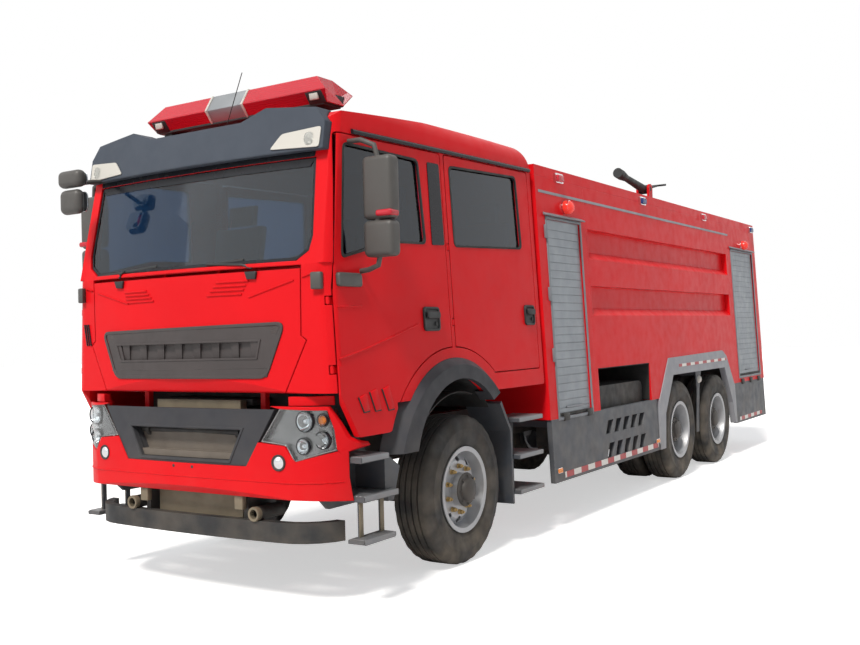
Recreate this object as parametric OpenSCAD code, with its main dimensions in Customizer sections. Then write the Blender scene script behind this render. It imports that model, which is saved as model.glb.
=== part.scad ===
// Foam fire truck: three-axle chassis, four-door tilting cab, tank body and roof monitor.
// Lengths are in millimetres. The front is towards -Y, the truck's left side is +X, the ground is z = 0.
// Inside the modules y is counted from the front axle, and place() moves a sub-part into the part's frame.

/* [Overall] */
// Distance from the front axle to the first rear axle
wheelbase = 4600; // [4200:50:5200]
// Distance between the two rear axles
tandem = 1400; // [1300:10:1500]
// Bumper face ahead of the front axle
front_overhang = 1652; // [1600:10:1750]
// Rearmost step behind the last axle
rear_overhang = 2325; // [2250:10:2600]

/* [Wheels] */
// Tyre outer radius
tyre_r = 541; // [525:1:560]
// Tyre section width
tyre_w = 300; // [280:1:315]
// Radius of the rim flange
rim_r = 304; // [300:1:308]
// Middle of the front tyre from the centre line
front_track_x = 1015; // [990:1:1030]
// Middle of the outer rear tyre from the centre line
rear_outer_x = 1075; // [1070:1:1085]
// Distance between the two tyres of a twin wheel
twin_pitch = 345; // [335:1:355]
// Radius of the stub axle that a wheel turns on
spindle_r = 45; // [40:1:50]

/* [Steering] */
// Kingpin from the centre line
kingpin_x = 850; // [830:1:865]
// Kingpin radius
kingpin_r = 25; // [20:1:30]
// Steering arm length behind the kingpin
steer_arm = 180; // [170:5:190]
// Track rod radius
track_rod_r = 20; // [15:1:25]

/* [Chassis] */
// Outer face of a frame rail from the centre line
rail_x = 430; // [415:1:440]
// Frame rail height
rail_h = 300; // [270:5:320]
// Top of the frame rails above the ground
rail_top = 1010; // [980:5:1030]
// Flange width of a frame rail
rail_flange = 85; // [75:1:95]
// Plate thickness of a frame rail
rail_t = 16; // [12:1:20]

/* [Cab] */
// Half width of the cab at the sill
cab_half_w = 1199; // [1180:1:1210]
// Inward lean of the cab side, in millimetres for each millimetre of height
cab_lean = 0.0485; // [0.03:0.0005:0.06]
// Rear wall of the cab behind the front axle
cab_rear_y = 1258; // [1230:1:1265]
// Front skin of the cab ahead of the front axle, on the centre line
cab_front = 1606; // [1595:1:1615]
// Height of the lower edge of the side sills
sill_z = 1240; // [1225:1:1250]
// Height of the lower edge of the front lid
nose_z = 1338; // [1330:1:1345]
// Height of the cab floor
floor_z = 1450; // [1440:1:1470]
// Height of the windscreen's lower edge
belt_z = 2130; // [2110:1:2140]
// Height of the roof at its rear crown
roof_z = 3228; // [3200:1:3260]
// Thickness of the cab walls and doors
cab_wall = 46; // [40:1:52]
// Slope of the windscreen from upright, in degrees
screen_tilt = 10.7; // [9:0.1:12]
// Radius of the bow of the front in plan
bow_r = 10000; // [8000:100:14000]
// Running gap round the doors and the lid
seam = 8; // [6:0.5:10]
// Front edge of the pillar between the doors, from the front axle
pillar_y = -168; // [-175:1:-160]
// Width of the pillar between the doors
pillar_w = 42; // [40:1:50]
// Glass thickness
glass_t = 7; // [5:0.5:9]
// Cab tilt pivot from the front axle
tilt_y = -1545; // [-1550:1:-1540]
// Cab tilt pivot height
tilt_z = 1085; // [1070:1:1095]

/* [Body] */
// Half width of the body at its lower edge
body_half_w = 1250; // [1235:1:1260]
// Inward lean of the body side, in millimetres for each millimetre of height
body_lean = 0.0447; // [0.03:0.0005:0.055]
// Front wall of the body behind the front axle
body_front_y = 1302; // [1295:1:1320]
// Depth of the step behind the body's rear wall
rear_step_l = 123; // [110:1:175]
// Lower edge of the skirts above the ground
skirt_z = 400; // [380:1:430]
// Lower edge of the red side panels
panel_z = 930; // [910:1:950]
// Upper edge of the body sides
body_top_z = 3092; // [3060:1:3130]
// Height of the roof walkway
deck_z = 3000; // [2980:1:3020]
// Wall thickness of the lockers
locker_wall = 45; // [35:1:60]
// Rear end of the front locker
locker_end_y = 2296; // [2280:1:2330]
// Front end of the pump room behind the last axle
pump_behind_axle = 880; // [830:1:890]
// Depth of the pressed channels of the tank side
channel_depth = 60; // [40:1:75]
// Width of the shutter slats
slat_pitch = 70; // [60:1:90]

/* [Monitor] */
// Monitor swivel behind the front end of the pump room
monitor_back = 80; // [20:10:170]
// Height of the barrel's elevation axis
monitor_z = 3590; // [3560:5:3620]
// Barrel length ahead of its elevation axis
barrel_l = 960; // [900:10:1050]

/* [Hidden] */
$fn = 96;

// Paint and material colours
red = "#c8242c";
dark_grey = "#3b3d42";
light_grey = "#8f9196";
black = "#1c1d1f";
silver = "#b9bcc0";
beige = "#8c8268";

// Overall frame: the origin is at the middle of the box that holds the truck, on the ground
truck_l = front_overhang + wheelbase + tandem + rear_overhang;
front_axle_y = front_overhang - truck_l / 2;
rear_end_y = wheelbase + tandem + rear_overhang;
rear_axle_ys = [wheelbase, wheelbase + tandem];
body_rear_y = rear_end_y - rear_step_l;
pump_front_y = rear_axle_ys[1] + pump_behind_axle;
monitor_y = pump_front_y + monitor_back;
axle_z = tyre_r;

// Running clearance of a shaft in its bore, and the gap between faces that pass each other
run_fit = 0.05;
// Joint line of a piece that is seated on another
seat_fit = 0.2;
face_gap = 6;

// Slopes of the sides as angles
cab_lean_deg = atan(cab_lean);
body_lean_deg = atan(body_lean);

// Half width of the body side and of the cab side at a height
function body_x(z) = body_half_w - body_lean * (z - skirt_z);
function cab_x(z) = cab_half_w - cab_lean * (z - sill_z);

// Windscreen plane on the centre line at a height
function screen_y(z) = -cab_front + 24 + tan(screen_tilt) * (z - belt_z);

// Outline with each corner rounded: the points of the arc that touches both sides
function unit(v) = v / norm(v);
function corner_arc(a, b, c, r, steps) =
  let (u = unit(a - b), w = unit(c - b), half = acos(u * w) / 2, reach = r / tan(half),
       p = b + u * reach, q = b + w * reach, m = b + unit(u + w) * (r / sin(half)),
       s = atan2(p[1] - m[1], p[0] - m[0]), e = atan2(q[1] - m[1], q[0] - m[0]),
       turn = e - s > 180 ? e - s - 360 : (e - s < -180 ? e - s + 360 : e - s))
  [for (k = [0:steps]) m + r * [cos(s + turn * k / steps), sin(s + turn * k / steps)]];
function rounded(pts, r, steps = 4) =
  let (n = len(pts))
  [for (k = [0:n - 1]) each corner_arc(pts[(k + n - 1) % n], pts[k], pts[(k + 1) % n], r, steps)];

// Moves a sub-part from axle-based lengths into the part's frame
module place() {
  translate([0, front_axle_y, 0]) children();
}
// The left piece and its mirror image
module both_sides() {
  children();
  mirror([1, 0, 0]) children();
}
// Left piece as it is, right piece mirrored
module on_side(side) {
  if (side > 0) children();
  else mirror([1, 0, 0]) children();
}
// Side outline, drawn in y and z, extruded from x0 to x1
module from_side(x0, x1) {
  translate([x0, 0, 0]) rotate([90, 0, 90]) linear_extrude(x1 - x0) children();
}
// Front outline, drawn in x and z, extruded from y0 to y1
module from_front(y0, y1) {
  translate([0, y1, 0]) rotate([90, 0, 0]) linear_extrude(y1 - y0) children();
}
// Block between two corners
module block(low, high) {
  translate(low) cube(high - low);
}
// Round bar along x, y or z
module bar_x(x0, x1, y, z, r) {
  translate([x0, y, z]) rotate([0, 90, 0]) cylinder(h = x1 - x0, r = r);
}
module bar_y(y0, y1, x, z, r) {
  translate([x, y0, z]) rotate([-90, 0, 0]) cylinder(h = y1 - y0, r = r);
}
module bar_z(z0, z1, x, y, r) {
  translate([x, y, z0]) cylinder(h = z1 - z0, r = r);
}
// Plan of a bowed front, as points: the bow, then a rounded corner on the left and a long right side
function bow_points(half_w, front, corner_r, back) =
  let (flat_x = half_w - corner_r, corner_y = front + pow(flat_x, 2) / (2 * bow_r), far = half_w + 300,
       steps = 12, turns = 6)
  [[-far, back], [-far, corner_y],
   for (k = [0:steps]) let (x = -flat_x + 2 * flat_x * k / steps) [x, front + pow(x, 2) / (2 * bow_r)],
   for (k = [1:turns]) let (a = -90 + 90 * k / turns)
     [half_w - corner_r + corner_r * cos(a), corner_y + corner_r + corner_r * sin(a)],
   [half_w, back]];
module bowed_plan(half_w, front, corner_r, back) {
  polygon(bow_points(half_w, front, corner_r, back));
}
// The same plan with both corners rounded
module bowed_block_plan(half_w, front, corner_r, back) {
  intersection() {
    bowed_plan(half_w, front, corner_r, back);
    mirror([1, 0, 0]) bowed_plan(half_w, front, corner_r, back);
  }
}

// Cab outer form

cab_corner_r = 95;
roof_edge_r = 150;
roof_rise = 0.047;
screen_top_z = 3010;
cab_back_r = 120;

// Side outline of the cab, moved in by an inset
function cab_side_outline(i) = [
  [-cab_front + 40 + i, nose_z], [-cab_front - 8 + i, nose_z + 120], [-cab_front - 8 + i, belt_z + 20],
  [screen_y(screen_top_z) - 14 + i, screen_top_z - i * 0.4], [-1310 + i * 0.6, 3092 - i],
  [-300, roof_z - roof_rise * (cab_rear_y - 300) - i], [cab_rear_y - cab_back_r, roof_z - i],
  [cab_rear_y - i, roof_z - 1.4 * cab_back_r - i], [cab_rear_y - i, sill_z], [-940, sill_z], [-1040, nose_z]];

// Half of the cab's plan as a leaning prism
module cab_half(i, tilt, z0, z1, front) {
  translate([0, 0, z0])
    rotate([-tilt, -cab_lean_deg, 0])
      translate([0, 0, -600])
        linear_extrude(z1 - z0 + 1200)
          bowed_plan(cab_x(z0) - i, front + i, cab_corner_r - i / 2, cab_rear_y + 900);
}
// Cross section of the cab with rounded roof edges
module cab_section(i) {
  k = sqrt(1 + pow(cab_lean, 2));
  top = roof_z - i;
  cx = cab_x(top - roof_edge_r) - i - roof_edge_r * k;
  tx = cx + roof_edge_r / k;
  tz = top - roof_edge_r + roof_edge_r * cab_lean / k;
  low = nose_z - 400;
  polygon([[-cab_x(low) + i, low], [cab_x(low) - i, low], [tx, tz], [cx, top], [-cx, top], [-tx, tz]]);
  for (s = [-1, 1]) translate([s * cx, top - roof_edge_r]) circle(roof_edge_r);
}
// The whole cab as a solid, moved in by an inset
module cab_form(i) {
  intersection() {
    from_side(-cab_half_w - 200, cab_half_w + 200) polygon(rounded(cab_side_outline(i), 22));
    from_front(-cab_front - 100, cab_rear_y + 10) cab_section(i);
    union() {
      intersection() {
        both_half_form(i, 0, nose_z - 300, belt_z, -cab_front);
        block([-2000, -2500, nose_z - 400], [2000, 2500, belt_z]);
      }
      intersection() {
        both_half_form(i, screen_tilt, belt_z, roof_z, screen_y(belt_z));
        block([-2000, -2500, belt_z], [2000, 2500, roof_z + 50]);
      }
    }
  }
}
module both_half_form(i, tilt, z0, z1, front) {
  intersection() {
    cab_half(i, tilt, z0, z1, front);
    mirror([1, 0, 0]) cab_half(i, tilt, z0, z1, front);
  }
}

// Slab along the cab side, from a depth under the skin outwards
module side_slab(depth) {
  from_front(-2000, 2000) polygon([[cab_x(900) - depth, 900], [cab_x(900) + 100, 900],
    [cab_x(3300) + 100, 3300],
    [cab_x(3300) - depth, 3300]]);
}

// Door and window outlines in y and z

arch_y = -150;
arch_z = 665;
door_arc_r = 922;
flare_base_r = 862;
flare_face_r = 792;
arch_in_y = -130;
arch_in_z = 735;
arch_in_r = 622;
door_front_low_y = -1492;
door_front_top_y = -1372;
door_top_z = 2944;
door_knee_z = 1990;
door_low_z = 1056;
door_low_front_y = -1330;
door_low_rear_y = -1010;
rear_door_end_y = 1188;
rear_door_low_z = 1378;
// Door hinges, front and rear doors: axis y, depth of the axis under the side, heights of the two hinges
front_hinge_y = door_front_low_y - 20;
rear_hinge_y = pillar_y + pillar_w - 12;
front_hinge_in = 40;
rear_hinge_in = 12;
front_hinge_zs = [1480, 1900];
rear_hinge_zs = [1760, 2300];
hinge_h = 44;
hinge_eye_r = 14;
hinge_pin_r = 7;
hinge_fit = 0.3;
hinge_arm_l = 85;
// Undercut of a door's front edge: how far it goes back for each mm inwards, and the land left at the skin
undercut_slope = 1.2;
undercut_land = 2;
undercut_depth = 80;
// The front door's edge lies on the cab's rounded corner, this far under the flat side
front_edge_in = 12;

front_door_end_y = pillar_y - seam;
// Front edge of the front door above its knee
function door_edge_y(z) =
  door_front_low_y + (door_front_top_y - door_front_low_y) * (z - door_knee_z) / (door_top_z - door_knee_z);
rear_door_y = pillar_y + pillar_w + seam;
front_door_pts = [[door_front_low_y, door_knee_z], [door_front_top_y, door_top_z],
  [front_door_end_y, door_top_z + 28],
  [front_door_end_y, 1300], [door_low_rear_y, door_low_z], [door_low_front_y, door_low_z],
  [door_front_low_y, 1330]];
rear_door_pts = [[rear_door_y, door_top_z + 28], [rear_door_end_y, door_top_z + 56],
  [rear_door_end_y, rear_door_low_z], [rear_door_y, rear_door_low_z]];
front_window_pts = [[-1392, 2172], [-1306, 2884], [-476, 2884], [-440, 2314], [-860, 2300]];
rear_window_pts = [[-42, 2318], [-50, 2892], [978, 2934], [1004, 2360]];

// Front door outline: the wheel arch takes its lower rear corner
module front_door_outline(grow) {
  difference() {
    offset_outline(front_door_pts, grow);
    translate([arch_y, arch_z]) circle(door_arc_r - grow);
  }
}
module rear_door_outline(grow) {
  difference() {
    offset_outline(rear_door_pts, grow);
    translate([arch_y, arch_z]) circle(door_arc_r - grow);
  }
}
// Outline moved out by a distance, with rounded corners: each corner goes along the mean of its sides'
// normals
function grown(pts, d) =
  let (n = len(pts))
  [for (k = [0:n - 1])
    let (a = unit(pts[k] - pts[(k + n - 1) % n]), b = unit(pts[(k + 1) % n] - pts[k]),
         na = [-a[1], a[0]], nb = [-b[1], b[0]])
    pts[k] + (na + nb) * d / (1 + na * nb)];
module offset_outline(pts, d) {
  polygon(rounded(grown(pts, d), 26));
}

// Lid and windscreen outlines in x and z

lid_top_z = belt_z - 26;
lid_half = [[0, lid_top_z], [952, lid_top_z], [946, 1690], [984, 1662], [800, nose_z - 40], [0, nose_z - 40]];
lid_hinge_y = -cab_front + 26;
lid_hinge_z = lid_top_z - 18;
lid_hinge_x = 250;
lid_lug_t = 24;
lid_pin_r = 6;
cowl_z = belt_z - 4;
screen_half = [[0, belt_z + 22], [925, belt_z + 22], [1010, 2210], [1030, 2300], [1000, 2800], [0, 2832]];
// Symmetric outline from its right half, read from the middle of the top to the middle of the bottom
function symmetric(half) = [each half, for (k = [len(half) - 1:-1:0])
  if (half[k][0] > 0) [-half[k][0], half[k][1]]];
function without_middle(half) = [for (p = half) if (p[0] > 0) p];
module mirrored_outline(half, d) {
  polygon(grown(symmetric(without_middle(half)), d));
}

// Chassis nodes

cross_ys = [-1340, 1180, 1900, 2700, 3700, 4420, 5300, 6180, 7100, 7900];
cross_z = rail_top - 60;
tilt_pin_r = 22;
tilt_lug_x = [520, 560];
subframe_h = 20;
rail_front_y = -1440;
rail_rear_y = body_rear_y - 122;

// Frame rails: two channels joined by tubular cross members
module frame_rails() {
  color(dark_grey) place() {
    both_sides() difference() {
      block([rail_x - rail_flange, rail_front_y, rail_top - rail_h], [rail_x, rail_rear_y, rail_top]);
      block([rail_x - rail_flange - 1, rail_front_y - 1, rail_top - rail_h + rail_t],
            [rail_x - rail_t, rail_rear_y + 1, rail_top - rail_t]);
    }
    for (y = cross_ys)
      bar_x(-rail_x + rail_t / 2, rail_x - rail_t / 2, y, cross_z, 44);
    both_sides() {
      // Subframe bar that carries the body
      block([rail_x - rail_flange, body_front_y, rail_top - 1],
        [rail_x, body_rear_y - 40, rail_top + subframe_h]);
      // Bracket of the cab tilt pivot
      from_side(rail_x - 32, rail_x) {
        polygon([[tilt_y - 30, tilt_z - 20], [rail_front_y + 40, 880], [rail_front_y + 40, rail_top - 8],
          [tilt_y + 10, tilt_z + 34]]);
        translate([tilt_y, tilt_z]) circle(tilt_pin_r + 14);
      }
    }
    bar_x(-tilt_lug_x[1] - 12, tilt_lug_x[1] + 12, tilt_y, tilt_z, tilt_pin_r);
  }
}

beam_z = axle_z - 60;
beam_h = 100;
eye_r = 62;
eye_h = 150;
// Front axle: a dropped beam with a kingpin eye at each end
module front_axle() {
  color(dark_grey) place() {
    block([-640, -50, beam_z - beam_h / 2], [640, 50, beam_z + beam_h / 2]);
    both_sides() difference() {
      union() {
        from_front(-46, 46) polygon([[600, beam_z - 46], [600, beam_z + 46], [kingpin_x, axle_z + 55],
          [kingpin_x, axle_z - 55]]);
        bar_z(axle_z - eye_h / 2, axle_z + eye_h / 2, kingpin_x, 0, eye_r);
      }
      bar_z(axle_z - eye_h, axle_z + eye_h, kingpin_x, 0, kingpin_r + run_fit);
    }
  }
}

spindle_root_x = 910;
arm_half = 20;
arm_z = axle_z - eye_h / 2 - face_gap - 20;
rod_z = arm_z - 48;
rod_pin_r = 15;
rod_eye_r = 30;
rod_eye_h = 40;
// Knuckle: a fork round the kingpin eye, the stub axle and the steering arm
module knuckle(side) {
  color(dark_grey) place() on_side(side) {
    bar_z(axle_z - eye_h / 2 - face_gap - 40, axle_z + eye_h / 2 + face_gap + 40, kingpin_x, 0, kingpin_r);
    for (s = [-1, 1])
      translate([0, 0, axle_z + s * (eye_h / 2 + face_gap + 20)])
        linear_extrude(40, center = true) {
          translate([kingpin_x, 0]) circle(eye_r);
          translate([kingpin_x, -eye_r]) square([spindle_root_x + 25 - kingpin_x, 2 * eye_r]);
        }
    block([kingpin_x + eye_r + face_gap, -eye_r, axle_z - eye_h / 2 - face_gap - 40],
          [kingpin_x + eye_r + face_gap + 30, eye_r, axle_z + eye_h / 2 + face_gap + 40]);
    bar_x(kingpin_x + eye_r + face_gap + 20, front_track_x + 60, 0, axle_z, spindle_r);
    // Arm straight behind the kingpin, and its pin
    block([kingpin_x - arm_half, 0, arm_z - 18], [kingpin_x + arm_half, steer_arm, arm_z + 18]);
    bar_z(arm_z - 18, arm_z + 18, kingpin_x, steer_arm, arm_half);
    bar_z(rod_z - rod_eye_h / 2 - 2, arm_z, kingpin_x, steer_arm, rod_pin_r);
  }
}
module knuckle_left() { knuckle(1); }
module knuckle_right() { knuckle(-1); }

// Track rod: the bar that couples the two steering arms, with an eye at each end
module track_rod() {
  color(black) place() {
    for (s = [-1, 1]) difference() {
      bar_z(rod_z - rod_eye_h / 2, rod_z + rod_eye_h / 2, s * kingpin_x, steer_arm, rod_eye_r);
      bar_z(rod_z - rod_eye_h, rod_z + rod_eye_h, s * kingpin_x, steer_arm, rod_pin_r + hinge_fit);
    }
    bar_x(rod_eye_r - 4 - kingpin_x, kingpin_x - rod_eye_r + 4, steer_arm, rod_z, track_rod_r - 2);
  }
}

housing_r = 95;
diff_r = 235;
// Rear axles: tubular housings with a round differential case and a stub at each end
module rear_axles() {
  inner = rear_outer_x - twin_pitch - tyre_w / 2;
  color(dark_grey) place() for (y = rear_axle_ys) {
    bar_x(-inner + 20, inner - 20, y, axle_z, housing_r);
    intersection() {
      translate([-30, y, axle_z]) sphere(diff_r);
      block([-260, y - 300, axle_z - 240], [200, y + 300, axle_z + 240]);
    }
    bar_y(y - 330, y, -30, axle_z + 60, 90);
    bar_y(y, y + 260, -30, axle_z + 60, 70);
    both_sides() bar_x(inner - 30, rear_outer_x + 34, y, axle_z, spindle_r);
  }
}

leaf_t = 18;
leaf_w = 90;
spring_x = 432;
// Leaf springs: stacked leaves, longest on top in front and below behind, with their saddles
module leaf_springs() {
  color(black) place() both_sides() {
    seat = beam_z + beam_h / 2;
    front_half = [780, 620, 460, 320];
    for (k = [0:len(front_half) - 1])
      block([spring_x - leaf_w / 2, -front_half[k], seat + (3 - k) * leaf_t],
            [spring_x + leaf_w / 2, front_half[k], seat + (4 - k) * leaf_t]);
    for (y = [-760, 760])
      block([spring_x - leaf_w / 2 + 12, y - 40, seat + 4 * leaf_t],
        [spring_x + leaf_w / 2 - 12, y + 40, rail_top - rail_h]);
    // Tandem spring over its trunnion
    mid = wheelbase + tandem / 2;
    top = axle_z + housing_r;
    rear_half = [680, 540, 400, 260];
    for (k = [0:len(rear_half) - 1])
      block([spring_x - leaf_w / 2, mid - rear_half[k] - 40, top + k * leaf_t],
            [spring_x + leaf_w / 2, mid + rear_half[k] + 40, top + (k + 1) * leaf_t]);
    block([spring_x - leaf_w / 2, mid - 130, axle_z - 60], [spring_x + leaf_w / 2, mid + 130, top]);
    from_side(spring_x - 60, spring_x - leaf_w / 2)
      polygon([[mid - 130, axle_z - 60], [mid + 130, axle_z - 60], [mid + 220, rail_top - rail_h],
        [mid - 220, rail_top - rail_h]]);
  }
}

// Engine and gearbox as plain blocks, with the shafts to both rear axles
module powertrain() {
  color(dark_grey) place() {
    block([-320, -1130, 720], [320, 60, 1300]);
    block([-250, -1050, 610], [250, -80, 720]);
    block([-205, 60, 690], [205, 900, 1130]);
    bar_y(890, 1010, 0, 900, 90);
    bar_y(1000, 2580, 0, 790, 55);
    bar_y(2570, 4240, 0, 690, 55);
    bar_y(2540, 2620, 0, 735, 105);
    bar_y(wheelbase + 260, wheelbase + tandem - 330, -30, axle_z + 60, 48);
    bar_y(980, 1020, 0, 850, 110);
    bar_y(4200, wheelbase - 330, -15, 640, 80);
  }
}

tank_y0 = 2384;
tank_y1 = 3676;
// Fuel tank on the left and air tank on the right, hung on the rails
module side_tanks() {
  color("#4a4d50") place() {
    from_side(rail_x + 110, 1130)
      polygon(rounded([[tank_y0, 520], [tank_y0, 1140], [tank_y1, 1140], [tank_y1, 520]], 90));
    for (y = [tank_y0 + 260, tank_y1 - 260])
      block([rail_x, y - 40, 620], [rail_x + 112, y + 40, rail_top - 60]);
    for (z = [640, 940]) bar_y(tank_y0 + 100, tank_y1 - 100, -760, z, 140);
    for (y = [tank_y0 + 260, tank_y1 - 260])
      block([-700, y - 40, 620], [-rail_x, y + 40, rail_top - 40]);
  }
}

// Cooler pack behind the bumper
module cooler() {
  color(beige) place() {
    block([-385, -1505, 470], [385, -1448, 1285]);
    both_sides() block([rail_x - rail_flange + 5, -1450, 740], [384, rail_front_y, 850]);
  }
}

// Front end on the chassis

bumper_z0 = 690;
bumper_z1 = 1262;
bumper_half_w = 1200;
bumper_corner_r = 410;
bumper_t = 70;
bumper_back_y = -1100;
lamp_rear_y = -1420;
lamp_panel_top = 1318;
lamp_post_x = 850;
lamp_half = [[650, 1040], [842, 1018], [912, 922], [1300, 1030], [1300, 1247], [800, 1257]];
lamp_cut_half = [[600, 1040], [842, 1018], [912, 922], [1300, 1030], [1300, 1300], [740, 1300]];
grille_low_half = [[0, 1290], [801.6, 1290], [545, 884], [0, 884]];

// Side outline of the bumper: its rear edge keeps clear of the door and of the tilting cab
bumper_side = [[-1700, 786], [-1700, 1300], [-1440, 1300], [-1440, 1190], [-1425, 1110], [-1380, 1036],
  [-1380, 816], [-1368, 740], [-1356, bumper_z0 - 20], [-1610, bumper_z0]];
// Bowed wall between two insets from the bumper's face
module bumper_wall(i0, i1, z0, z1) {
  translate([0, 0, z0]) linear_extrude(z1 - z0) difference() {
    bowed_block_plan(bumper_half_w - i0, -front_overhang + i0, bumper_corner_r - i0, bumper_back_y);
    bowed_block_plan(bumper_half_w - i1, -front_overhang + i1, bumper_corner_r - i1, bumper_back_y + 100);
  }
}
// Bumper: a bowed shell with openings for the grille and the headlamps
module front_bumper() {
  color(red) place() {
    difference() {
      intersection() {
        bumper_wall(0, bumper_t, bumper_z0 - 30, bumper_z1);
        from_side(-1300, 1300) polygon(bumper_side);
      }
      from_front(-1800, -1300) mirrored_outline(grille_low_half, 0);
      from_front(-1800, -1300) both_outlines(lamp_cut_half);
    }
    // Panel set back over the lamps
    intersection() {
      bumper_wall(40, bumper_t + 30, bumper_z1 - 1, lamp_panel_top);
      from_front(-1700, lamp_rear_y) both_outlines([[850, bumper_z1 - 10], [1120, bumper_z1 - 10],
        [1120, lamp_panel_top + 10], [850, lamp_panel_top + 10]]);
    }
    both_sides() {
      // Post of the panel, on the lamp's shelf
      block([lamp_post_x, -1536, 880], [lamp_post_x + 50, -1500, bumper_z1 + 10]);
      block([lamp_post_x, -1600, 870], [lamp_post_x + 50, -1500, 905]);
      block([rail_x - 40, -1610, 760], [rail_x, rail_front_y, 860]);
    }
  }
}
module both_outlines(pts) {
  for (s = [0, 1]) mirror([s, 0]) polygon(pts);
}
// Headlamps: clear units that follow the bow and wrap round the corners
module headlamps() {
  color("#dfe4e8") place() intersection() {
    bumper_wall(6, bumper_t - 10, 900, bumper_z1);
    from_front(-1800, lamp_rear_y) both_outlines(lamp_half);
    from_side(-1300, 1300) polygon(bumper_side);
  }
}
// Lower grille: the dark trapezoid between the headlamps, with its open slot
module lower_grille() {
  slot_half = [[0, 1108], [500, 1108], [400, 916], [0, 916]];
  color(dark_grey) place() {
    difference() {
      intersection() {
        bumper_wall(8, 48, 860, bumper_z1);
        from_front(-1800, -1400) mirrored_outline([[0, 1240], [770, 1240], [545, 884], [0, 884]], -0.3);
      }
      from_front(-1800, -1400) mirrored_outline(slot_half, 0);
    }
    for (z = [955, 1010, 1065]) block([-470, -1616, z - 8], [470, -1606, z + 8]);
    both_sides() block([440, -1616, 920], [500, -1598, 1108]);
    both_sides() block([340, -1610, 1180], [380, -1505, 1230]);
  }
}

tow_x = 559;
tow_z = 579;
tow_bore_r = 30;
tow_wall = 14;
tow_l = 250;
tow_y = -1590;
underrun_half_w = 1095;
underrun_corner_r = 350;
underrun_t = 60;
underrun_z0 = 412;
underrun_z1 = tow_z - tow_bore_r - 11;
underrun_front = 1600;
underrun_rear_y = -1330;
// Underrun bar with rounded ends, its brackets and the two tow tubes
module front_underrun() {
  color(black) place() {
    intersection() {
      translate([0, 0, underrun_z0]) linear_extrude(underrun_z1 - underrun_z0) difference() {
        bowed_block_plan(underrun_half_w, -underrun_front, underrun_corner_r, bumper_back_y);
        bowed_block_plan(underrun_half_w - underrun_t, -underrun_front + underrun_t,
          underrun_corner_r - underrun_t, bumper_back_y + 100);
      }
      block([-1300, -1700, 0], [1300, underrun_rear_y, 1000]);
    }
    both_sides() {
      block([rail_x, -1545, 430], [rail_x + 40, rail_front_y + 160, 720]);
      block([rail_x, rail_front_y, 700], [rail_x + 40, rail_front_y + 160, 900]);
      difference() {
        union() {
          bar_y(tow_y, tow_y + tow_l, tow_x, tow_z, tow_bore_r + tow_wall);
          block([rail_x + 38, tow_y + 120, tow_z - 30], [tow_x, tow_y + tow_l, tow_z + 30]);
        }
        bar_y(tow_y - 1, tow_y + tow_l + 1, tow_x, tow_z, tow_bore_r);
      }
    }
  }
}

step_out_x = 1242;
// Front entry steps: two treads in front of the wheel, the guard behind them and a hanging step
module entry_steps() {
  // Columns: front y, rear y, top z
  treads = [[-1370, -1070, 934], [-1350, -975, 692]];
  color(dark_grey) place() both_sides() {
    for (t = treads) block([930, t[0], t[2] - 34], [step_out_x, t[1], t[2]]);
    from_side(930, 965) polygon([[-1400, 655], [-1400, 1030], [-1030, 1030], [-880, 840], [-960, 600],
      [-1340, 600]]);
    from_side(965, step_out_x - 40)
      polygon([[-1068, 700], [-1068, 900], [-1010, 900], [-900, 830], [-975, 620], [-1040, 620],
        [-1040, 700]]);
    block([rail_x, -1260, 820], [932, -1180, 880]);
    // Hanging step on two straps
    for (y = [-1320, -1100]) block([1180, y - 18, 430], [1190, y + 18, 660]);
    block([1150, -1400, 412], [step_out_x + 30, -1060, 436]);
  }
}

flap_y = 655;
// Rear half of the front wheel arch: a bent guard and a flap, hung on a bracket from the rail
module front_mudguards() {
  color(dark_grey) place() both_sides() {
    from_side(870, 1190) polygon([[500, 1128], [flap_y, 900], [flap_y + 20, 330], [flap_y + 42, 330],
      [flap_y + 24, 910], [522, 1146]]);
    block([rail_x, flap_y + 15, 830], [900, flap_y + 75, 880]);
  }
}

// Crew steps behind the front wheel: treads on a bent bracket
module crew_steps() {
  color(dark_grey) place() both_sides() {
    for (z = [998, 709, 433]) block([960, 700, z - 30], [step_out_x, 1120, z]);
    for (y = [790, 1030]) block([960, y - 20, 405], [1000, y + 20, 1000]);
    block([rail_x, 880, 830], [962, 940, 890]);
    block([958, 770, 830], [1000, 1050, 890]);
  }
}

// Body nodes

// Body cross section between two heights, moved in by an inset
module body_section(z0, z1, i = 0) {
  polygon([[-body_x(z0) + i, z0], [body_x(z0) - i, z0], [body_x(z1) - i, z1], [-body_x(z1) + i, z1]]);
}

// Shutters by side, columns: front y, rear y, low z, high z
side_shutters = [[body_front_y + 176, locker_end_y - 136, panel_z + 10, 2640],
  [pump_front_y + 112, body_rear_y - 194, panel_z + 80, 2670]];
rear_shutter_half_w = 760;
rear_shutter_z = [1010, 2620];

locker_floor_z = rail_top + subframe_h + 40;
// Channel under the body for the frame, as high as the subframe
module frame_tunnel() {
  block([-560, 0, panel_z - 1], [560, 9000, rail_top + subframe_h]);
}
// Front locker: a hollow box across the truck, open at both sides behind its shutters
module front_locker() {
  s = side_shutters[0];
  color(red) place() difference() {
    from_front(body_front_y, locker_end_y) body_section(panel_z, deck_z);
    from_front(body_front_y + locker_wall, locker_end_y - locker_wall)
      body_section(locker_floor_z, deck_z - locker_wall, locker_wall);
    both_sides() block([1080, s[0], s[2]], [1400, s[1], s[3]]);
    frame_tunnel();
  }
}

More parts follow.
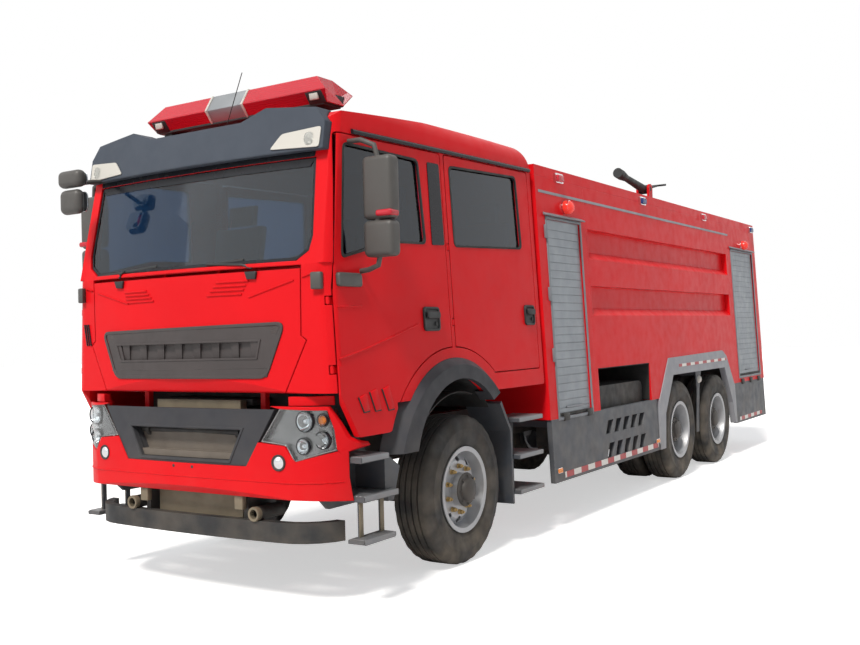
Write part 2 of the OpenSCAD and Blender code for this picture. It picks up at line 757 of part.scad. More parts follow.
// Pressed channels of the tank side, columns: top z, foot of the recess, foot of the slope
channels = [[2612, 2405, 2336], [2084, 1880, 1808]];
channel_front_y = locker_end_y + 34;
channel_rear_y = pump_front_y - 110;
box_y0 = 2360;
box_y1 = 3700;
box_z1 = 1318;
rear_arch_y0 = rear_axle_ys[0] - 615;
rear_arch_y1 = rear_axle_ys[1] + 630;
rear_arch_z = 1165;
// Tank: a leaning block with two pressed channels on each side, the wheel housing and the side box cut out
module tank() {
  color(red) place() difference() {
    from_front(locker_end_y, pump_front_y) body_section(panel_z, deck_z);
    both_sides() {
      for (c = channels)
        from_front(channel_front_y, channel_rear_y)
          polygon([[body_x(c[0]) - channel_depth, c[0]], [body_x(c[0]) + 50, c[0]], [body_x(c[2]) + 50, c[2]],
            [body_x(c[2]), c[2]], [body_x(c[1]) - channel_depth, c[1]]]);
      from_side(560, 1400) polygon(rear_arch_pts);
      block([500, box_y0, panel_z - 100], [1400, box_y1, box_z1]);
    }
    frame_tunnel();
  }
}
rear_arch_pts = [[rear_arch_y0 - 60, panel_z - 10], [rear_arch_y0 + 190, rear_arch_z + 60],
  [rear_arch_y0 + 350, rear_arch_z + 100],
  [rear_arch_y1 - 400, rear_arch_z + 100], [rear_arch_y1 - 220, rear_arch_z + 60],
    [rear_arch_y1 + 60, panel_z - 10]];

// Pump room: hollow, open at both sides and at the rear behind its shutters
module pump_room() {
  s = side_shutters[1];
  color(red) place() difference() {
    from_front(pump_front_y, body_rear_y) body_section(panel_z, deck_z);
    from_front(pump_front_y + locker_wall, body_rear_y - locker_wall)
      body_section(locker_floor_z, deck_z - locker_wall, locker_wall);
    both_sides() block([1080, s[0], s[2]], [1400, s[1], s[3]]);
    frame_tunnel();
    block([-rear_shutter_half_w, body_rear_y - 200, rear_shutter_z[0]],
      [rear_shutter_half_w, body_rear_y + 10, rear_shutter_z[1]]);
  }
}

hatch_y = 3300;
hatch_half = 290;
hatch_rim = 60;
monitor_foot_r = 150;
// Roof deck: the walkway plate with its side walls, the hatch rim and the monitor's foot
module roof_deck() {
  color("#a92a34") place() {
    difference() {
      from_front(body_front_y, body_rear_y) body_section(deck_z, body_top_z);
      from_front(body_front_y + 60, body_rear_y - 60) body_section(deck_z + 20, body_top_z + 20, 90);
    }
    difference() {
      block([-hatch_half, hatch_y - hatch_half, deck_z + 19],
        [hatch_half, hatch_y + hatch_half, deck_z + 20 + hatch_rim]);
      block([-hatch_half + 30, hatch_y - hatch_half + 30, deck_z + 20],
            [hatch_half - 30, hatch_y + hatch_half - 30, deck_z + 90]);
    }
    // Hinge ears behind the hatch
    for (x = [-200, 200]) difference() {
      block([x - 25, hatch_y + hatch_half - 2, deck_z + 19],
        [x + 25, hatch_y + hatch_half + 60, hatch_hinge_z + 18]);
      bar_x(x - 30, x + 30, hatch_hinge_y, hatch_hinge_z, 8 + run_fit);
    }
    bar_z(deck_z + 19, deck_z + 60, 0, monitor_y, monitor_foot_r);
  }
}
hatch_hinge_y = hatch_y + hatch_half + 38;
hatch_hinge_z = deck_z + 20 + hatch_rim + 22;
// Hatch lid over the tank's filling hole, hinged behind
module tank_hatch() {
  z0 = deck_z + 20 + hatch_rim + 0.3;
  color(light_grey) place() {
    block([-hatch_half, hatch_y - hatch_half, z0], [hatch_half, hatch_y + hatch_half - 20, z0 + 34]);
    bar_x(-160, 160, hatch_hinge_y, hatch_hinge_z, 14);
    bar_x(-232, 232, hatch_hinge_y, hatch_hinge_z, 8);
    for (x = [-120, 120])
      block([x - 20, hatch_y + hatch_half - 60, z0 + 10], [x + 20, hatch_hinge_y, z0 + 34]);
    bar_x(-80, 80, hatch_y - hatch_half + 60, z0 + 60, 12);
    for (x = [-80, 80]) bar_z(z0 + 30, z0 + 60, x, hatch_y - hatch_half + 60, 12);
  }
}

skirt_t = 45;
// Skirt panels below the body: slotted in front of the rear wheels, plain behind
module side_skirts() {
  slots = [[2440, 700, 824], [2440, 478, 612]];
  slot_pitch = 205;
  color(dark_grey) place() {
    both_sides() difference() {
      union() {
        leaning_panel(body_front_y + 14, rear_arch_y0 - 156, skirt_z, panel_z);
        leaning_panel(rear_arch_y1 + 86, body_rear_y - 38, skirt_z + 16, panel_z);
      }
      for (s = slots) for (k = [0:4])
        from_side(1000, 1400) polygon([[s[0] + k * slot_pitch, s[1]], [s[0] + k * slot_pitch + 130, s[1]],
          [s[0] + k * slot_pitch + 200, s[2]], [s[0] + k * slot_pitch + 70, s[2]]]);
    }
    // Hangers from the frame
    for (y = [1420, 2240, pump_front_y + 20, body_rear_y - 302])
      both_sides() block([rail_x, y - 30, 860], [body_x(900) - skirt_t + 8, y + 30, 915]);
  }
}
// Panel that leans with the body side
module leaning_panel(y0, y1, z0, z1, t = skirt_t) {
  from_front(y0, y1) polygon([[body_x(z0) - t, z0], [body_x(z0), z0], [body_x(z1), z1],
    [body_x(z1) - t, z1]]);
}

trim_w = 150;
// Angular wheel arch trims over the rear wheels
module arch_trims() {
  inner = [[rear_arch_y0 + 6, skirt_z], [rear_arch_y0 + 80, 760], [rear_arch_y0 + 400, rear_arch_z - 8],
    [rear_arch_y1 - 320, rear_arch_z - 8], [rear_arch_y1 - 60, 700], [rear_arch_y1, skirt_z + 30]];
  outer = [[rear_arch_y0 - 145, skirt_z], [rear_arch_y0 - 80, panel_z - 20], [rear_arch_y0 + 285, 1345],
    [rear_arch_y1 - 370, 1372], [rear_arch_y1 - 210, 1300], [rear_arch_y1 + 70, panel_z - 20],
    [rear_arch_y1 + 76, skirt_z + 30]];
  color(light_grey) place() both_sides() {
    difference() {
      intersection() {
        from_side(1100, 1400) polygon([each outer, each [for (k = [len(inner) - 1:-1:0]) inner[k]]]);
        from_front(rear_arch_y0 - 285, rear_arch_y1 + 170)
          polygon([[body_x(skirt_z) - 60, skirt_z - 10], [body_x(skirt_z) + 12, skirt_z - 10],
          [body_x(1500) + 12, 1500], [body_x(1500) - 60, 1500]]);
      }
      difference() {
        from_front(rear_arch_y0 - 285, rear_arch_y1 + 170) body_section(panel_z, 1600, -seat_fit);
        from_side(560, 1400) polygon(rear_arch_pts);
      }
    }
    // Inner guard that backs the trim and carries it
    from_side(640, 1190) polygon([[rear_arch_y0 + 200, rear_arch_z + 54],
      [rear_arch_y1 - 230, rear_arch_z + 54],
      [rear_arch_y1 - 230, rear_arch_z + 42], [rear_arch_y0 + 200, rear_arch_z + 42]]);
    for (y = [rear_arch_y0 - 145, rear_arch_y1 + 15])
      block([1120, y, panel_z - 60], [body_x(panel_z) - 30, y + 60, panel_z]);
  }
}

// Roller shutters: slatted panels in their frames at the sides and the rear
module shutters() {
  inset = 14;
  color(silver) place() {
    for (s = side_shutters) both_sides() difference() {
      from_front(s[0], s[1]) polygon([[body_x(s[2]) - inset - 26, s[2]], [body_x(s[2]) - inset, s[2]],
        [body_x(s[3]) - inset, s[3]], [body_x(s[3]) - inset - 26, s[3]]]);
      for (z = [s[2] + slat_pitch:slat_pitch:s[3] - slat_pitch / 2])
        block([body_x(z) - inset - 5, s[0] + 30, z - 3], [body_x(z) + 20, s[1] - 30, z + 3]);
    }
    difference() {
      block([-rear_shutter_half_w, body_rear_y - inset - 26, rear_shutter_z[0]],
            [rear_shutter_half_w, body_rear_y - inset, rear_shutter_z[1]]);
      for (z = [rear_shutter_z[0] + slat_pitch:slat_pitch:rear_shutter_z[1] - slat_pitch / 2])
        block([-rear_shutter_half_w + 30, body_rear_y - inset - 5, z - 3],
          [rear_shutter_half_w - 30, body_rear_y + 1, z + 3]);
    }
  }
}

ladder_x = [-1060, -800];
hook_x = 0;
hook_bore_r = 27;
// Rear step bar with its brackets and tow eye, and the ladder that stands on it
module rear_access() {
  bar_y0 = body_rear_y + 10;
  color(silver) place() {
    block([-1150, bar_y0, 560], [1150, rear_end_y, 700]);
    both_sides() block([rail_x - rail_flange, rail_rear_y, 600], [rail_x, bar_y0 + 10, 900]);
    for (x = ladder_x) {
      bar_z(695, 3050, x, bar_y0 + 75, 19);
      for (z = [980, 1800, 2620, 2960]) bar_y(body_rear_y, bar_y0 + 75, x, z, 12);
    }
    for (z = [960:290:2990]) bar_x(ladder_x[0], ladder_x[1], bar_y0 + 75, z, 15);
    difference() {
      union() {
        block([-60, rail_rear_y, 780], [60, rear_end_y - 70, 880]);
        translate([0, rear_end_y - 70, 780]) cylinder(h = 100, r = 60);
      }
      bar_z(770, 890, hook_x, rear_end_y - 70, hook_bore_r);
    }
    block([-rail_x, rail_rear_y, 780], [rail_x, rail_rear_y + 60, 880]);
  }
}

// Lamps on the body: square work lamps and round warning lamps along the sides, tail lamps behind
module body_lamps() {
  // Columns: y of the square lamps
  square_ys = [1750, 3795, 5871, body_rear_y - 195];
  round_ys = [1857, body_rear_y - 671];
  color("#c9ccd0") place() {
    both_sides() {
      for (y = square_ys) lamp_on_side(y, 3015, 150, 84, 26);
      for (y = round_ys) translate([body_x(2768) + seat_fit, y, 2768]) rotate([0, 90 - body_lean_deg, 0])
        cylinder(h = 60, r = 58);
      for (y = [1391, 3760]) lamp_on_side(y, 500, 90, 44, 16);
      for (z = [1180, 1400, 1620]) block([890, body_rear_y, z - 90], [1050, body_rear_y + 40, z + 90]);
    }
  }
}
module lamp_on_side(y, z, w, h, t) {
  translate([body_x(z) + seat_fit, y, z]) rotate([0, -body_lean_deg, 0])
    from_side(0, t) polygon(rounded([[-w / 2, -h / 2], [-w / 2, h / 2], [w / 2, h / 2],
      [w / 2, -h / 2]], 12));
}

// Cab nodes

firewall_y = -1436;
// Cab shell: roof, pillars, floor, sills and rear wall, with the openings for doors, lid and windscreen
module cab_shell() {
  color(red) place() difference() {
    cab_form(0);
    // Inside space above the floor
    intersection() {
      cab_form(cab_wall);
      from_side(-1300, 1300) polygon(rounded([[firewall_y, floor_z], [firewall_y, belt_z - 24],
        [firewall_y - 34, belt_z + 18],
        [-1700, belt_z + 18], [-1500, 3300], [cab_rear_y - cab_wall, 3300],
          [cab_rear_y - cab_wall, floor_z]], 12));
    }
    // Space under the floor between the sills
    block([-cab_half_w + 70, firewall_y, sill_z - 250],
      [cab_half_w - 70, cab_rear_y - cab_wall, floor_z - 60]);
    // Space behind the lid
    from_front(-1800, -1480) {
      mirrored_outline(lid_half, seam);
      translate([-960, lid_top_z - 20]) square([1920, cowl_z - lid_top_z + 20]);
    }
    from_front(-1800, -1300) mirrored_outline(screen_half, 0);
    both_sides() {
      intersection() {
        side_slab(cab_wall + 14);
        from_side(900, 1500) {
          front_door_outline(seam);
          rear_door_outline(seam);
        }
      }
      // Door hinge pockets and the wheel arch
      for (z = front_hinge_zs) hinge_pocket(front_hinge_y, front_hinge_in, z);
      for (z = rear_hinge_zs) hinge_pocket(rear_hinge_y, rear_hinge_in, z);
      bar_x(560, 1500, arch_in_y, arch_in_z, arch_in_r + 20);
    }
  }
  color(red) place() both_sides() {
    cab_tilt_lug();
    lid_lug();
  }
}
// Local frame of a door hinge: its axis leans with the cab side
module at_hinge(y, depth, z) {
  translate([cab_x(z) - depth, y, z]) rotate([0, -cab_lean_deg, 0]) children();
}
// Pocket in the pillar for a hinge eye, open outwards for the arm's swing, with the bores for the pin
module hinge_pocket(y, depth, z) {
  at_hinge(y, depth, z) {
    cylinder(h = hinge_h + 2 * face_gap, r = hinge_eye_r + face_gap, center = true);
    block([-hinge_eye_r - 1, -11, -hinge_h / 2 - face_gap], [70, 45, hinge_h / 2 + face_gap]);
    cylinder(h = hinge_h + 48, r = hinge_pin_r + hinge_fit, center = true);
  }
}
// Hinge eye, arm and pin of a door
module hinge_arm(y, depth, z) {
  at_hinge(y, depth, z) {
    cylinder(h = hinge_h, r = hinge_eye_r, center = true);
    block([-9, 0, -hinge_h / 2], [9, hinge_arm_l, hinge_h / 2]);
    cylinder(h = hinge_h + 40, r = hinge_pin_r, center = true);
  }
}
// Arm from the cab's floor down to the tilt shaft
module cab_tilt_lug() {
  from_side(tilt_lug_x[0], tilt_lug_x[1]) difference() {
    union() {
      translate([tilt_y, tilt_z]) circle(tilt_pin_r + 14);
      translate([tilt_y, tilt_z - 30]) square([firewall_y + 16 - tilt_y, 60]);
      translate([firewall_y - 24, tilt_z - 30]) square([40, floor_z - 30 - tilt_z]);
    }
    translate([tilt_y, tilt_z]) circle(tilt_pin_r + hinge_fit);
  }
}
// Lug of the lid hinge under the windscreen
module lid_lug() {
  from_side(lid_hinge_x - lid_lug_t / 2, lid_hinge_x + lid_lug_t / 2) difference() {
    union() {
      translate([lid_hinge_y, lid_hinge_z]) circle(lid_pin_r + 6);
      polygon([[lid_hinge_y, lid_hinge_z - 12], [lid_hinge_y + 90, lid_hinge_z - 12],
        [lid_hinge_y + 90, cowl_z + 6],
        [lid_hinge_y + 50, cowl_z + 6], [lid_hinge_y + 40, lid_hinge_z + 10],
          [lid_hinge_y, lid_hinge_z + 12]]);
    }
    translate([lid_hinge_y, lid_hinge_z]) circle(lid_pin_r + hinge_fit);
  }
}

// Windscreen: a sheet that follows the bow of the front
module windscreen() {
  color("#39434d", 0.6) place() difference() {
    intersection() {
      cab_form(14);
      from_front(-1800, -1300) mirrored_outline(screen_half, 0);
    }
    cab_form(14 + glass_t);
    from_side(-1300, 1300) polygon([[-1340, 2000], [-1340, 3300], [0, 3300], [0, 2000]]);
  }
}

// Roof visor over the windscreen, with raised ends and the corner lamp panels
module visor() {
  low = 2836;
  color(dark_grey) place() difference() {
    intersection() {
      union() {
        both_half_form(-58, screen_tilt, belt_z, roof_z, screen_y(belt_z));
      }
      from_front(-1800, -1250) polygon([[-1085, low], [1085, low], [1085, 3010], [1010, 3108], [620, 3150],
        [420, 3080],
        [-420, 3080], [-620, 3150], [-1010, 3108], [-1085, 3010]]);
      from_side(-1200, 1200) polygon([[-1520, low - 5], [-1545, low + 8], [-1440, 3200], [-1288, 3200],
        [-1288, low - 5]]);
    }
    cab_form(-0.4);
  }
}

// Light bar across the roof on two feet
module light_bar() {
  bar_y = -1019;
  color("#b3202a") place() {
    translate([0, 0, 3214]) linear_extrude(92)
      polygon([[-926, bar_y - 30], [-820, bar_y - 150], [820, bar_y - 150], [926, bar_y - 30],
        [926, bar_y + 60],
        [820, bar_y + 150], [-820, bar_y + 150], [-926, bar_y + 60]]);
    from_front(bar_y - 140, bar_y + 140)
      polygon([[-910, 3306], [910, 3306], [800, 3412], [-800, 3412]]);
    difference() {
      for (x = [-620, 620]) block([x - 60, bar_y - 60, roof_z - 220], [x + 60, bar_y + 60, 3215]);
      cab_form(0);
    }
  }
}
// Wheel arch flares: a cone that stands out of the cab side, open over the tyre
module wheel_flares() {
  flare_x = 1242;
  root_x = 1120;
  color(dark_grey) place() both_sides() difference() {
    translate([root_x, arch_y, arch_z]) rotate([0, 90, 0])
      cylinder(h = flare_x - root_x, r1 = flare_base_r + 40, r2 = flare_face_r);
    bar_x(root_x - 10, flare_x + 10, arch_in_y, arch_in_z, arch_in_r);
    cab_keep_out();
    from_side(1000, 1400) polygon([[-2000, -500], [-2000, 905], [arch_in_y, 905], [arch_in_y, 1000],
      [282, 1158], [470, 1246], [1000, 1500], [1500, -500]]);
  }
}
// Space that the cab side and the doors take, with the doors' running gap
module cab_keep_out() {
  intersection() {
    cab_form(0);
    block([0, -2000, 1000], [2000, 2000, 3300]);
  }
  from_side(1000, cab_half_w + 30) difference() {
    polygon([[-1600, 1000], [-1600, 1700], [1300, 1700], [1300, 1000]]);
    translate([arch_y, arch_z]) circle(door_arc_r - seam);
  }
}

seat_w = 520;
// Seats, dashboard and steering wheel, seen through the glass
module cab_interior() {
  color("#2a2c30") place() {
    // Columns: x, y
    for (p = [[720, -640], [-720, -640], [780, 640], [0, 640], [-780, 640]])
      translate([p[0], p[1], floor_z]) {
      block([-seat_w / 2, -240, 0], [seat_w / 2, 260, 330]);
      block([-seat_w / 2, -280, 330], [seat_w / 2, 260, 460]);
      from_side(-seat_w / 2, seat_w / 2) polygon(rounded([[170, 455], [300, 1130], [380, 1130],
        [300, 455]], 24));
      from_side(-140, 140) polygon(rounded([[290, 1125], [310, 1300], [390, 1300], [375, 1125]], 20));
    }
    from_side(-1080, 1080) polygon(rounded([[firewall_y, 1700], [firewall_y, 2090], [-1300, 2100],
      [-1140, 2010], [-1120, 1760], [-1250, 1700]], 20));
    translate([720, -1075, 2080]) rotate([-58, 0, 0]) rotate_extrude() translate([225, 0])
      circle(17, $fn = 24);
    translate([720, -1075, 2080]) rotate([-58, 0, 0]) {
      cylinder(h = 20, r = 60, center = true);
      for (a = [0, 120, 240]) rotate([0, 0, a + 90]) block([40, -18, -8], [215, 18, 8]);
      translate([0, 0, -240]) cylinder(h = 240, r = 30);
    }
  }
}

// Front lid with its pressed frame, hinged at the top edge
module front_lid() {
  color(red) place() difference() {
    intersection() {
      cab_form(0);
      from_front(-1800, -1500) mirrored_outline(lid_half, 0);
    }
    cab_form(42);
    from_front(-1800, -1400) mirrored_outline(grille_half, 0);
    block([-2000, -2000, 0], [2000, 0, nose_z + 1]);
    both_sides() block([lid_hinge_x - lid_lug_t / 2 - face_gap, lid_hinge_y - 16, lid_hinge_z - 18],
                       [lid_hinge_x + lid_lug_t / 2 + face_gap, 0, belt_z + 50]);
  }
  color(red) place() both_sides()
    bar_x(lid_hinge_x - lid_lug_t / 2 - face_gap - 4, lid_hinge_x + lid_lug_t / 2 + face_gap + 4,
      lid_hinge_y, lid_hinge_z, lid_pin_r);
}
grille_half = [[0, 1768], [818, 1752], [690, 1440], [0, 1426]];
// Upper grille: a dark panel in the lid with a slot of three-sided facets
module upper_grille() {
  facet = 170;
  color("#4b4547") place() {
    difference() {
      intersection() {
        cab_form(-6);
        from_front(-1800, -1400) mirrored_outline(grille_half, 0);
      }
      cab_form(24);
      from_front(-1800, -1400) mirrored_outline([[0, 1660], [646, 1660], [612, 1552], [0, 1552]], 0);
    }
    intersection() {
      from_front(-1604, -1556) mirrored_outline([[0, 1662], [648, 1662], [614, 1550], [0, 1550]], 0);
      for (k = [-4:3]) translate([(k + 0.5) * facet, -1552, 1500]) rotate([0, 0, 45])
        cylinder(h = 220, r1 = 30, r2 = 58, $fn = 4);
    }
    from_front(-1572, -1556) mirrored_outline([[0, 1662], [648, 1662], [614, 1550], [0, 1550]], 0);
  }
}

// Doors: the cab wall inside the door outline, with the window cut out
module door_panel(side, front) {
  color(red) place() on_side(side) difference() {
    intersection() {
      union() {
        cab_form(0);
        door_skirt();
      }
      from_side(900, 1500) {
        if (front) front_door_outline(0);
        else rear_door_outline(0);
      }
      side_slab(cab_wall - 4);
    }
    cab_form(cab_wall - 4);
    door_skirt_inside();
    from_side(900, 1500) offset_outline(front ? front_window_pts : rear_window_pts, 0);
    if (front) {
      edge_undercut([door_front_low_y, 1250], [door_front_low_y, door_knee_z + 20], front_edge_in);
      edge_undercut([door_edge_y(door_knee_z - 20), door_knee_z - 20], [door_edge_y(belt_z), belt_z],
        front_edge_in / 2);
      edge_undercut([door_edge_y(belt_z), belt_z], [door_front_top_y, door_top_z], 0);
    }
    else edge_undercut([rear_door_y, rear_door_low_z - 50], [rear_door_y, door_top_z + 80], 0);
  }
  color(red) place() on_side(side) {
    if (front) for (z = front_hinge_zs) hinge_arm(front_hinge_y, front_hinge_in, z);
    else for (z = rear_hinge_zs) hinge_arm(rear_hinge_y, rear_hinge_in, z);
  }
}
// Undercut behind a straight run of a door's front edge, so that the edge clears the pillar as the door
// swings
module edge_undercut(low, high, depth) {
  back = high - low;
  translate([cab_x(low[1]) - depth - undercut_land, low[0], low[1]])
    rotate([-atan(back[0] / back[1]), -cab_lean_deg, 0])
      linear_extrude(norm(back))
        polygon([[0, -60], [0, 0], [-undercut_depth, undercut_slope * undercut_depth],
          [-undercut_depth, -60]]);
}
// The door's lower part hangs below the cab's nose as a plain leaning wall
module door_skirt() {
  from_front(-1500, -900) polygon([[1000, 1000], [cab_x(1000), 1000], [cab_x(1500), 1500], [1000, 1500]]);
}
module door_skirt_inside() {
  from_front(-1700, -800) polygon([[900, 900], [cab_x(900) - cab_wall + 4, 900],
    [cab_x(1500) - cab_wall + 4, 1500], [900, 1500]]);
}
module door_glass(side, front) {
  color("#39434d", 0.6) place() on_side(side) difference() {
    intersection() {
      cab_form(16);
      from_side(900, 1500) offset_outline(front ? front_window_pts : rear_window_pts, 0);
    }
    cab_form(16 + glass_t);
  }
}
module door_front_left() { door_panel(1, true); }
module door_front_right() { door_panel(-1, true); }
module door_rear_left() { door_panel(1, false); }
module door_rear_right() { door_panel(-1, false); }
module glass_front_left() { door_glass(1, true); }
module glass_front_right() { door_glass(-1, true); }
module glass_rear_left() { door_glass(1, false); }
module glass_rear_right() { door_glass(-1, false); }

mirror_in_x = 1235;
mirror_out_x = 1450;
mirror_y0 = -1290;
mirror_y1 = -1168;
// Mirror: an upper and a lower head on arms from the front edge of the door
module mirror_unit(side) {
  // Columns: low z, high z of each head
  heads = [[2405, 2790], [2165, 2392]];
  color("#5d5e60") place() on_side(side) {
    for (h = heads)
      from_front(mirror_y0, mirror_y1) polygon(rounded([[mirror_in_x, h[0]], [mirror_in_x, h[1]],
        [mirror_out_x, h[1]],
        [mirror_out_x, h[0]]], 45, 6));
    block([mirror_in_x + 60, mirror_y0 + 30, 2380], [mirror_out_x - 40, mirror_y1 - 30, 2420]);
    difference() {
      union() {
        block([cab_x(2800) - 60, -1372, 2768], [mirror_in_x + 80, mirror_y0 + 40, 2812]);
        block([cab_x(2080) - 30, -1440, 2080], [cab_x(2080) + 40, -1230, 2128]);
      }
      cab_form(0);
    }
    block([cab_x(2080) + 20, -1270, 2085], [mirror_in_x + 90, -1200, 2180]);
  }
}
module mirror_left() { mirror_unit(1); }
module mirror_right() { mirror_unit(-1); }

// Wheels

tread_groove_xs = [-75, -26, 26, 75];
tread_groove_w = 11;
tread_groove_depth = 13;
// Half section of a tyre, with the middle of the tyre at zero and the grooves of the tread
module tyre_section() {
  half = tyre_w / 2;
  difference() {
    polygon(rounded([[rim_r, -half + 30], [rim_r + 70, -half], [tyre_r - 70, -half], [tyre_r, -half + 28],
      [tyre_r, half - 28],
    [tyre_r - 70, half], [rim_r + 70, half], [rim_r, half - 30], [rim_r - 14, half - 34],
      [rim_r - 14, -half + 34]], 12, 2));
    for (x = tread_groove_xs)
      translate([tyre_r - tread_groove_depth, x - tread_groove_w / 2])
        square([2 * tread_groove_depth, tread_groove_w]);
  }
}
module tyre_at(x) {
  translate([x, 0, 0]) rotate([0, 90, 0]) rotate_extrude() tyre_section();
}
// Rim: a well with flanges, a dished disc with hand holes, and the hub on the stub axle
module rim_at(x, dish, bore_r) {
  half = tyre_w / 2;
  disc_t = 14;
  hand_holes = 10;
  translate([x, 0, 0]) rotate([0, 90, 0]) {
    rotate_extrude() polygon([[rim_r - 15, -half + 34], [rim_r - 15, half - 34], [rim_r - 15, half - 22],
      [rim_r + 8, half - 18],
      [rim_r + 8, half - 8], [rim_r - 26, half - 12], [rim_r - 30, half - 34], [rim_r - 44, 40],
        [rim_r - 44, -40],
      [rim_r - 30, -half + 34], [rim_r - 26, -half + 12], [rim_r + 8, -half + 8], [rim_r + 8, -half + 18],
        [rim_r - 15, -half + 22]]);
    difference() {
      rotate_extrude() polygon([[bore_r, dish], [bore_r, dish + disc_t], [210, dish + disc_t],
        [rim_r - 42, dish * 0.5 + disc_t],
        [rim_r - 42, dish * 0.5], [210, dish]]);
      for (k = [0:hand_holes - 1]) rotate([0, 0, k * 360 / hand_holes]) translate([223, 0, -200])
        cylinder(h = 400, r = 24);
    }
  }
}
module hub_at(x0, x1, r) {
  difference() {
    translate([x0, 0, 0]) rotate([0, 90, 0]) cylinder(h = x1 - x0, r = r);
    translate([x0 - 1, 0, 0]) rotate([0, 90, 0]) cylinder(h = x1 - x0 - 30, r = spindle_r + run_fit);
  }
}
module front_wheel_place(side) {
  place() on_side(side) translate([0, 0, axle_z]) children();
}
module rear_wheel_place(side, axle) {
  place() on_side(side) translate([0, rear_axle_ys[axle], axle_z]) children();
}
module front_rim(side) {
  disc = 70;
  color(silver) front_wheel_place(side) {
    rim_at(front_track_x, disc, spindle_r + 20);
    hub_at(front_track_x - 60, front_track_x + disc + 70, 120);
    // Brake drum
    translate([front_track_x - 70, 0, 0]) rotate([0, 90, 0]) difference() {
      cylinder(h = 110, r = 205);
      translate([0, 0, -1]) cylinder(h = 60, r = 190);
      cylinder(h = 110, r = 100);
    }
  }
}
module rear_rims(side, axle) {
  disc = -95;
  inner_x = rear_outer_x - twin_pitch;
  color(silver) rear_wheel_place(side, axle) {
    rim_at(rear_outer_x, disc, spindle_r + 20);
    rim_at(inner_x, -disc - 14, spindle_r + 20);
    hub_at(inner_x - 40, rear_outer_x + 70, 135);
  }
}
module front_tyre(side) { color(black) front_wheel_place(side) tyre_at(front_track_x); }
module rear_tyres(side, axle) {
  color(black) rear_wheel_place(side, axle) for (x = [rear_outer_x, rear_outer_x - twin_pitch]) tyre_at(x);
}
module tyre_front_left() { front_tyre(1); }
module tyre_front_right() { front_tyre(-1); }
module rim_front_left() { front_rim(1); }
module rim_front_right() { front_rim(-1); }
module tyres_mid_left() { rear_tyres(1, 0); }
module tyres_mid_right() { rear_tyres(-1, 0); }
module rims_mid_left() { rear_rims(1, 0); }
module rims_mid_right() { rear_rims(-1, 0); }
module tyres_rear_left() { rear_tyres(1, 1); }
module tyres_rear_right() { rear_tyres(-1, 1); }
module rims_rear_left() { rear_rims(1, 1); }
module rims_rear_right() { rear_rims(-1, 1); }

// Monitor

swivel_z = deck_z + 60;
// Monitor base: the swivel column, the elbow and the fork that carries the barrel
module monitor_base() {
  color(red) place() translate([0, monitor_y, 0]) {
    bar_z(swivel_z + 0.3, swivel_z + 60, 0, 0, 140);
    bar_z(swivel_z + 59, monitor_z - 130, 0, 0, 75);
    bar_z(monitor_z - 240, monitor_z - 150, 0, 0, 90);
    both_sides() difference() {
      union() {
        block([62, -70, monitor_z - 240], [92, 70, monitor_z]);
        bar_x(62, 92, 0, monitor_z, 70);
      }
      bar_x(50, 100, 0, monitor_z, 30 + run_fit);
    }
  }
}
// Monitor barrel: trunnion, ball body, tapered tube, nozzle and aiming bar
module monitor_barrel() {
  lift = 7;
  color(black) place() translate([0, monitor_y, monitor_z]) {
    bar_x(-92, 92, 0, 0, 30);
    bar_x(-56, 56, 0, 0, 62);
    rotate([90 - lift, 0, 0]) {
      cylinder(h = 300, r1 = 58, r2 = 52);
      translate([0, 0, 295]) cylinder(h = barrel_l - 560, r1 = 52, r2 = 44);
      translate([0, 0, barrel_l - 270]) cylinder(h = 150, r1 = 48, r2 = 66);
      translate([0, 0, barrel_l - 121]) cylinder(h = 121, r = 66);
    }
    rotate([-78, 0, 0]) cylinder(h = 560, r = 14);
    rotate([-78, 0, 0]) translate([0, 0, 555]) rotate([0, 90, 0]) cylinder(h = 240, r = 14, center = true);
  }
}

frame_rails();
front_axle();
rear_axles();
leaf_springs();
powertrain();
side_tanks();
cooler();
front_bumper();
headlamps();
lower_grille();
front_underrun();
front_mudguards();
entry_steps();
crew_steps();
front_locker();
tank();
pump_room();
roof_deck();
side_skirts();
arch_trims();
shutters();
rear_access();
body_lamps();
cab_shell();
windscreen();
visor();
light_bar();
wheel_flares();
cab_interior();
front_lid();
upper_grille();
door_front_left();
door_front_right();
door_rear_left();
door_rear_right();
glass_front_left();
glass_front_right();
glass_rear_left();
glass_rear_right();
mirror_left();
mirror_right();
knuckle_left();
knuckle_right();
track_rod();
tyre_front_left();
tyre_front_right();
rim_front_left();
rim_front_right();
tyres_mid_left();
tyres_mid_right();
rims_mid_left();
rims_mid_right();
tyres_rear_left();
tyres_rear_right();
rims_rear_left();
rims_rear_right();
monitor_base();
monitor_barrel();
tank_hatch();
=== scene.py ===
"""Looks of a foam fire truck: finishes, lamps, glazing, trim and tyres over the CAD frame.

Lengths are metres. Places are counted from the front axle along Y, as in the part's source,
and each finished piece is moved into the part's frame when it is dressed.
"""

import logging
import math
from contextlib import contextmanager
from dataclasses import dataclass, field
from enum import Enum
from typing import Callable, Iterable, Iterator, Sequence

import bpy
from mathutils import Matrix, Vector


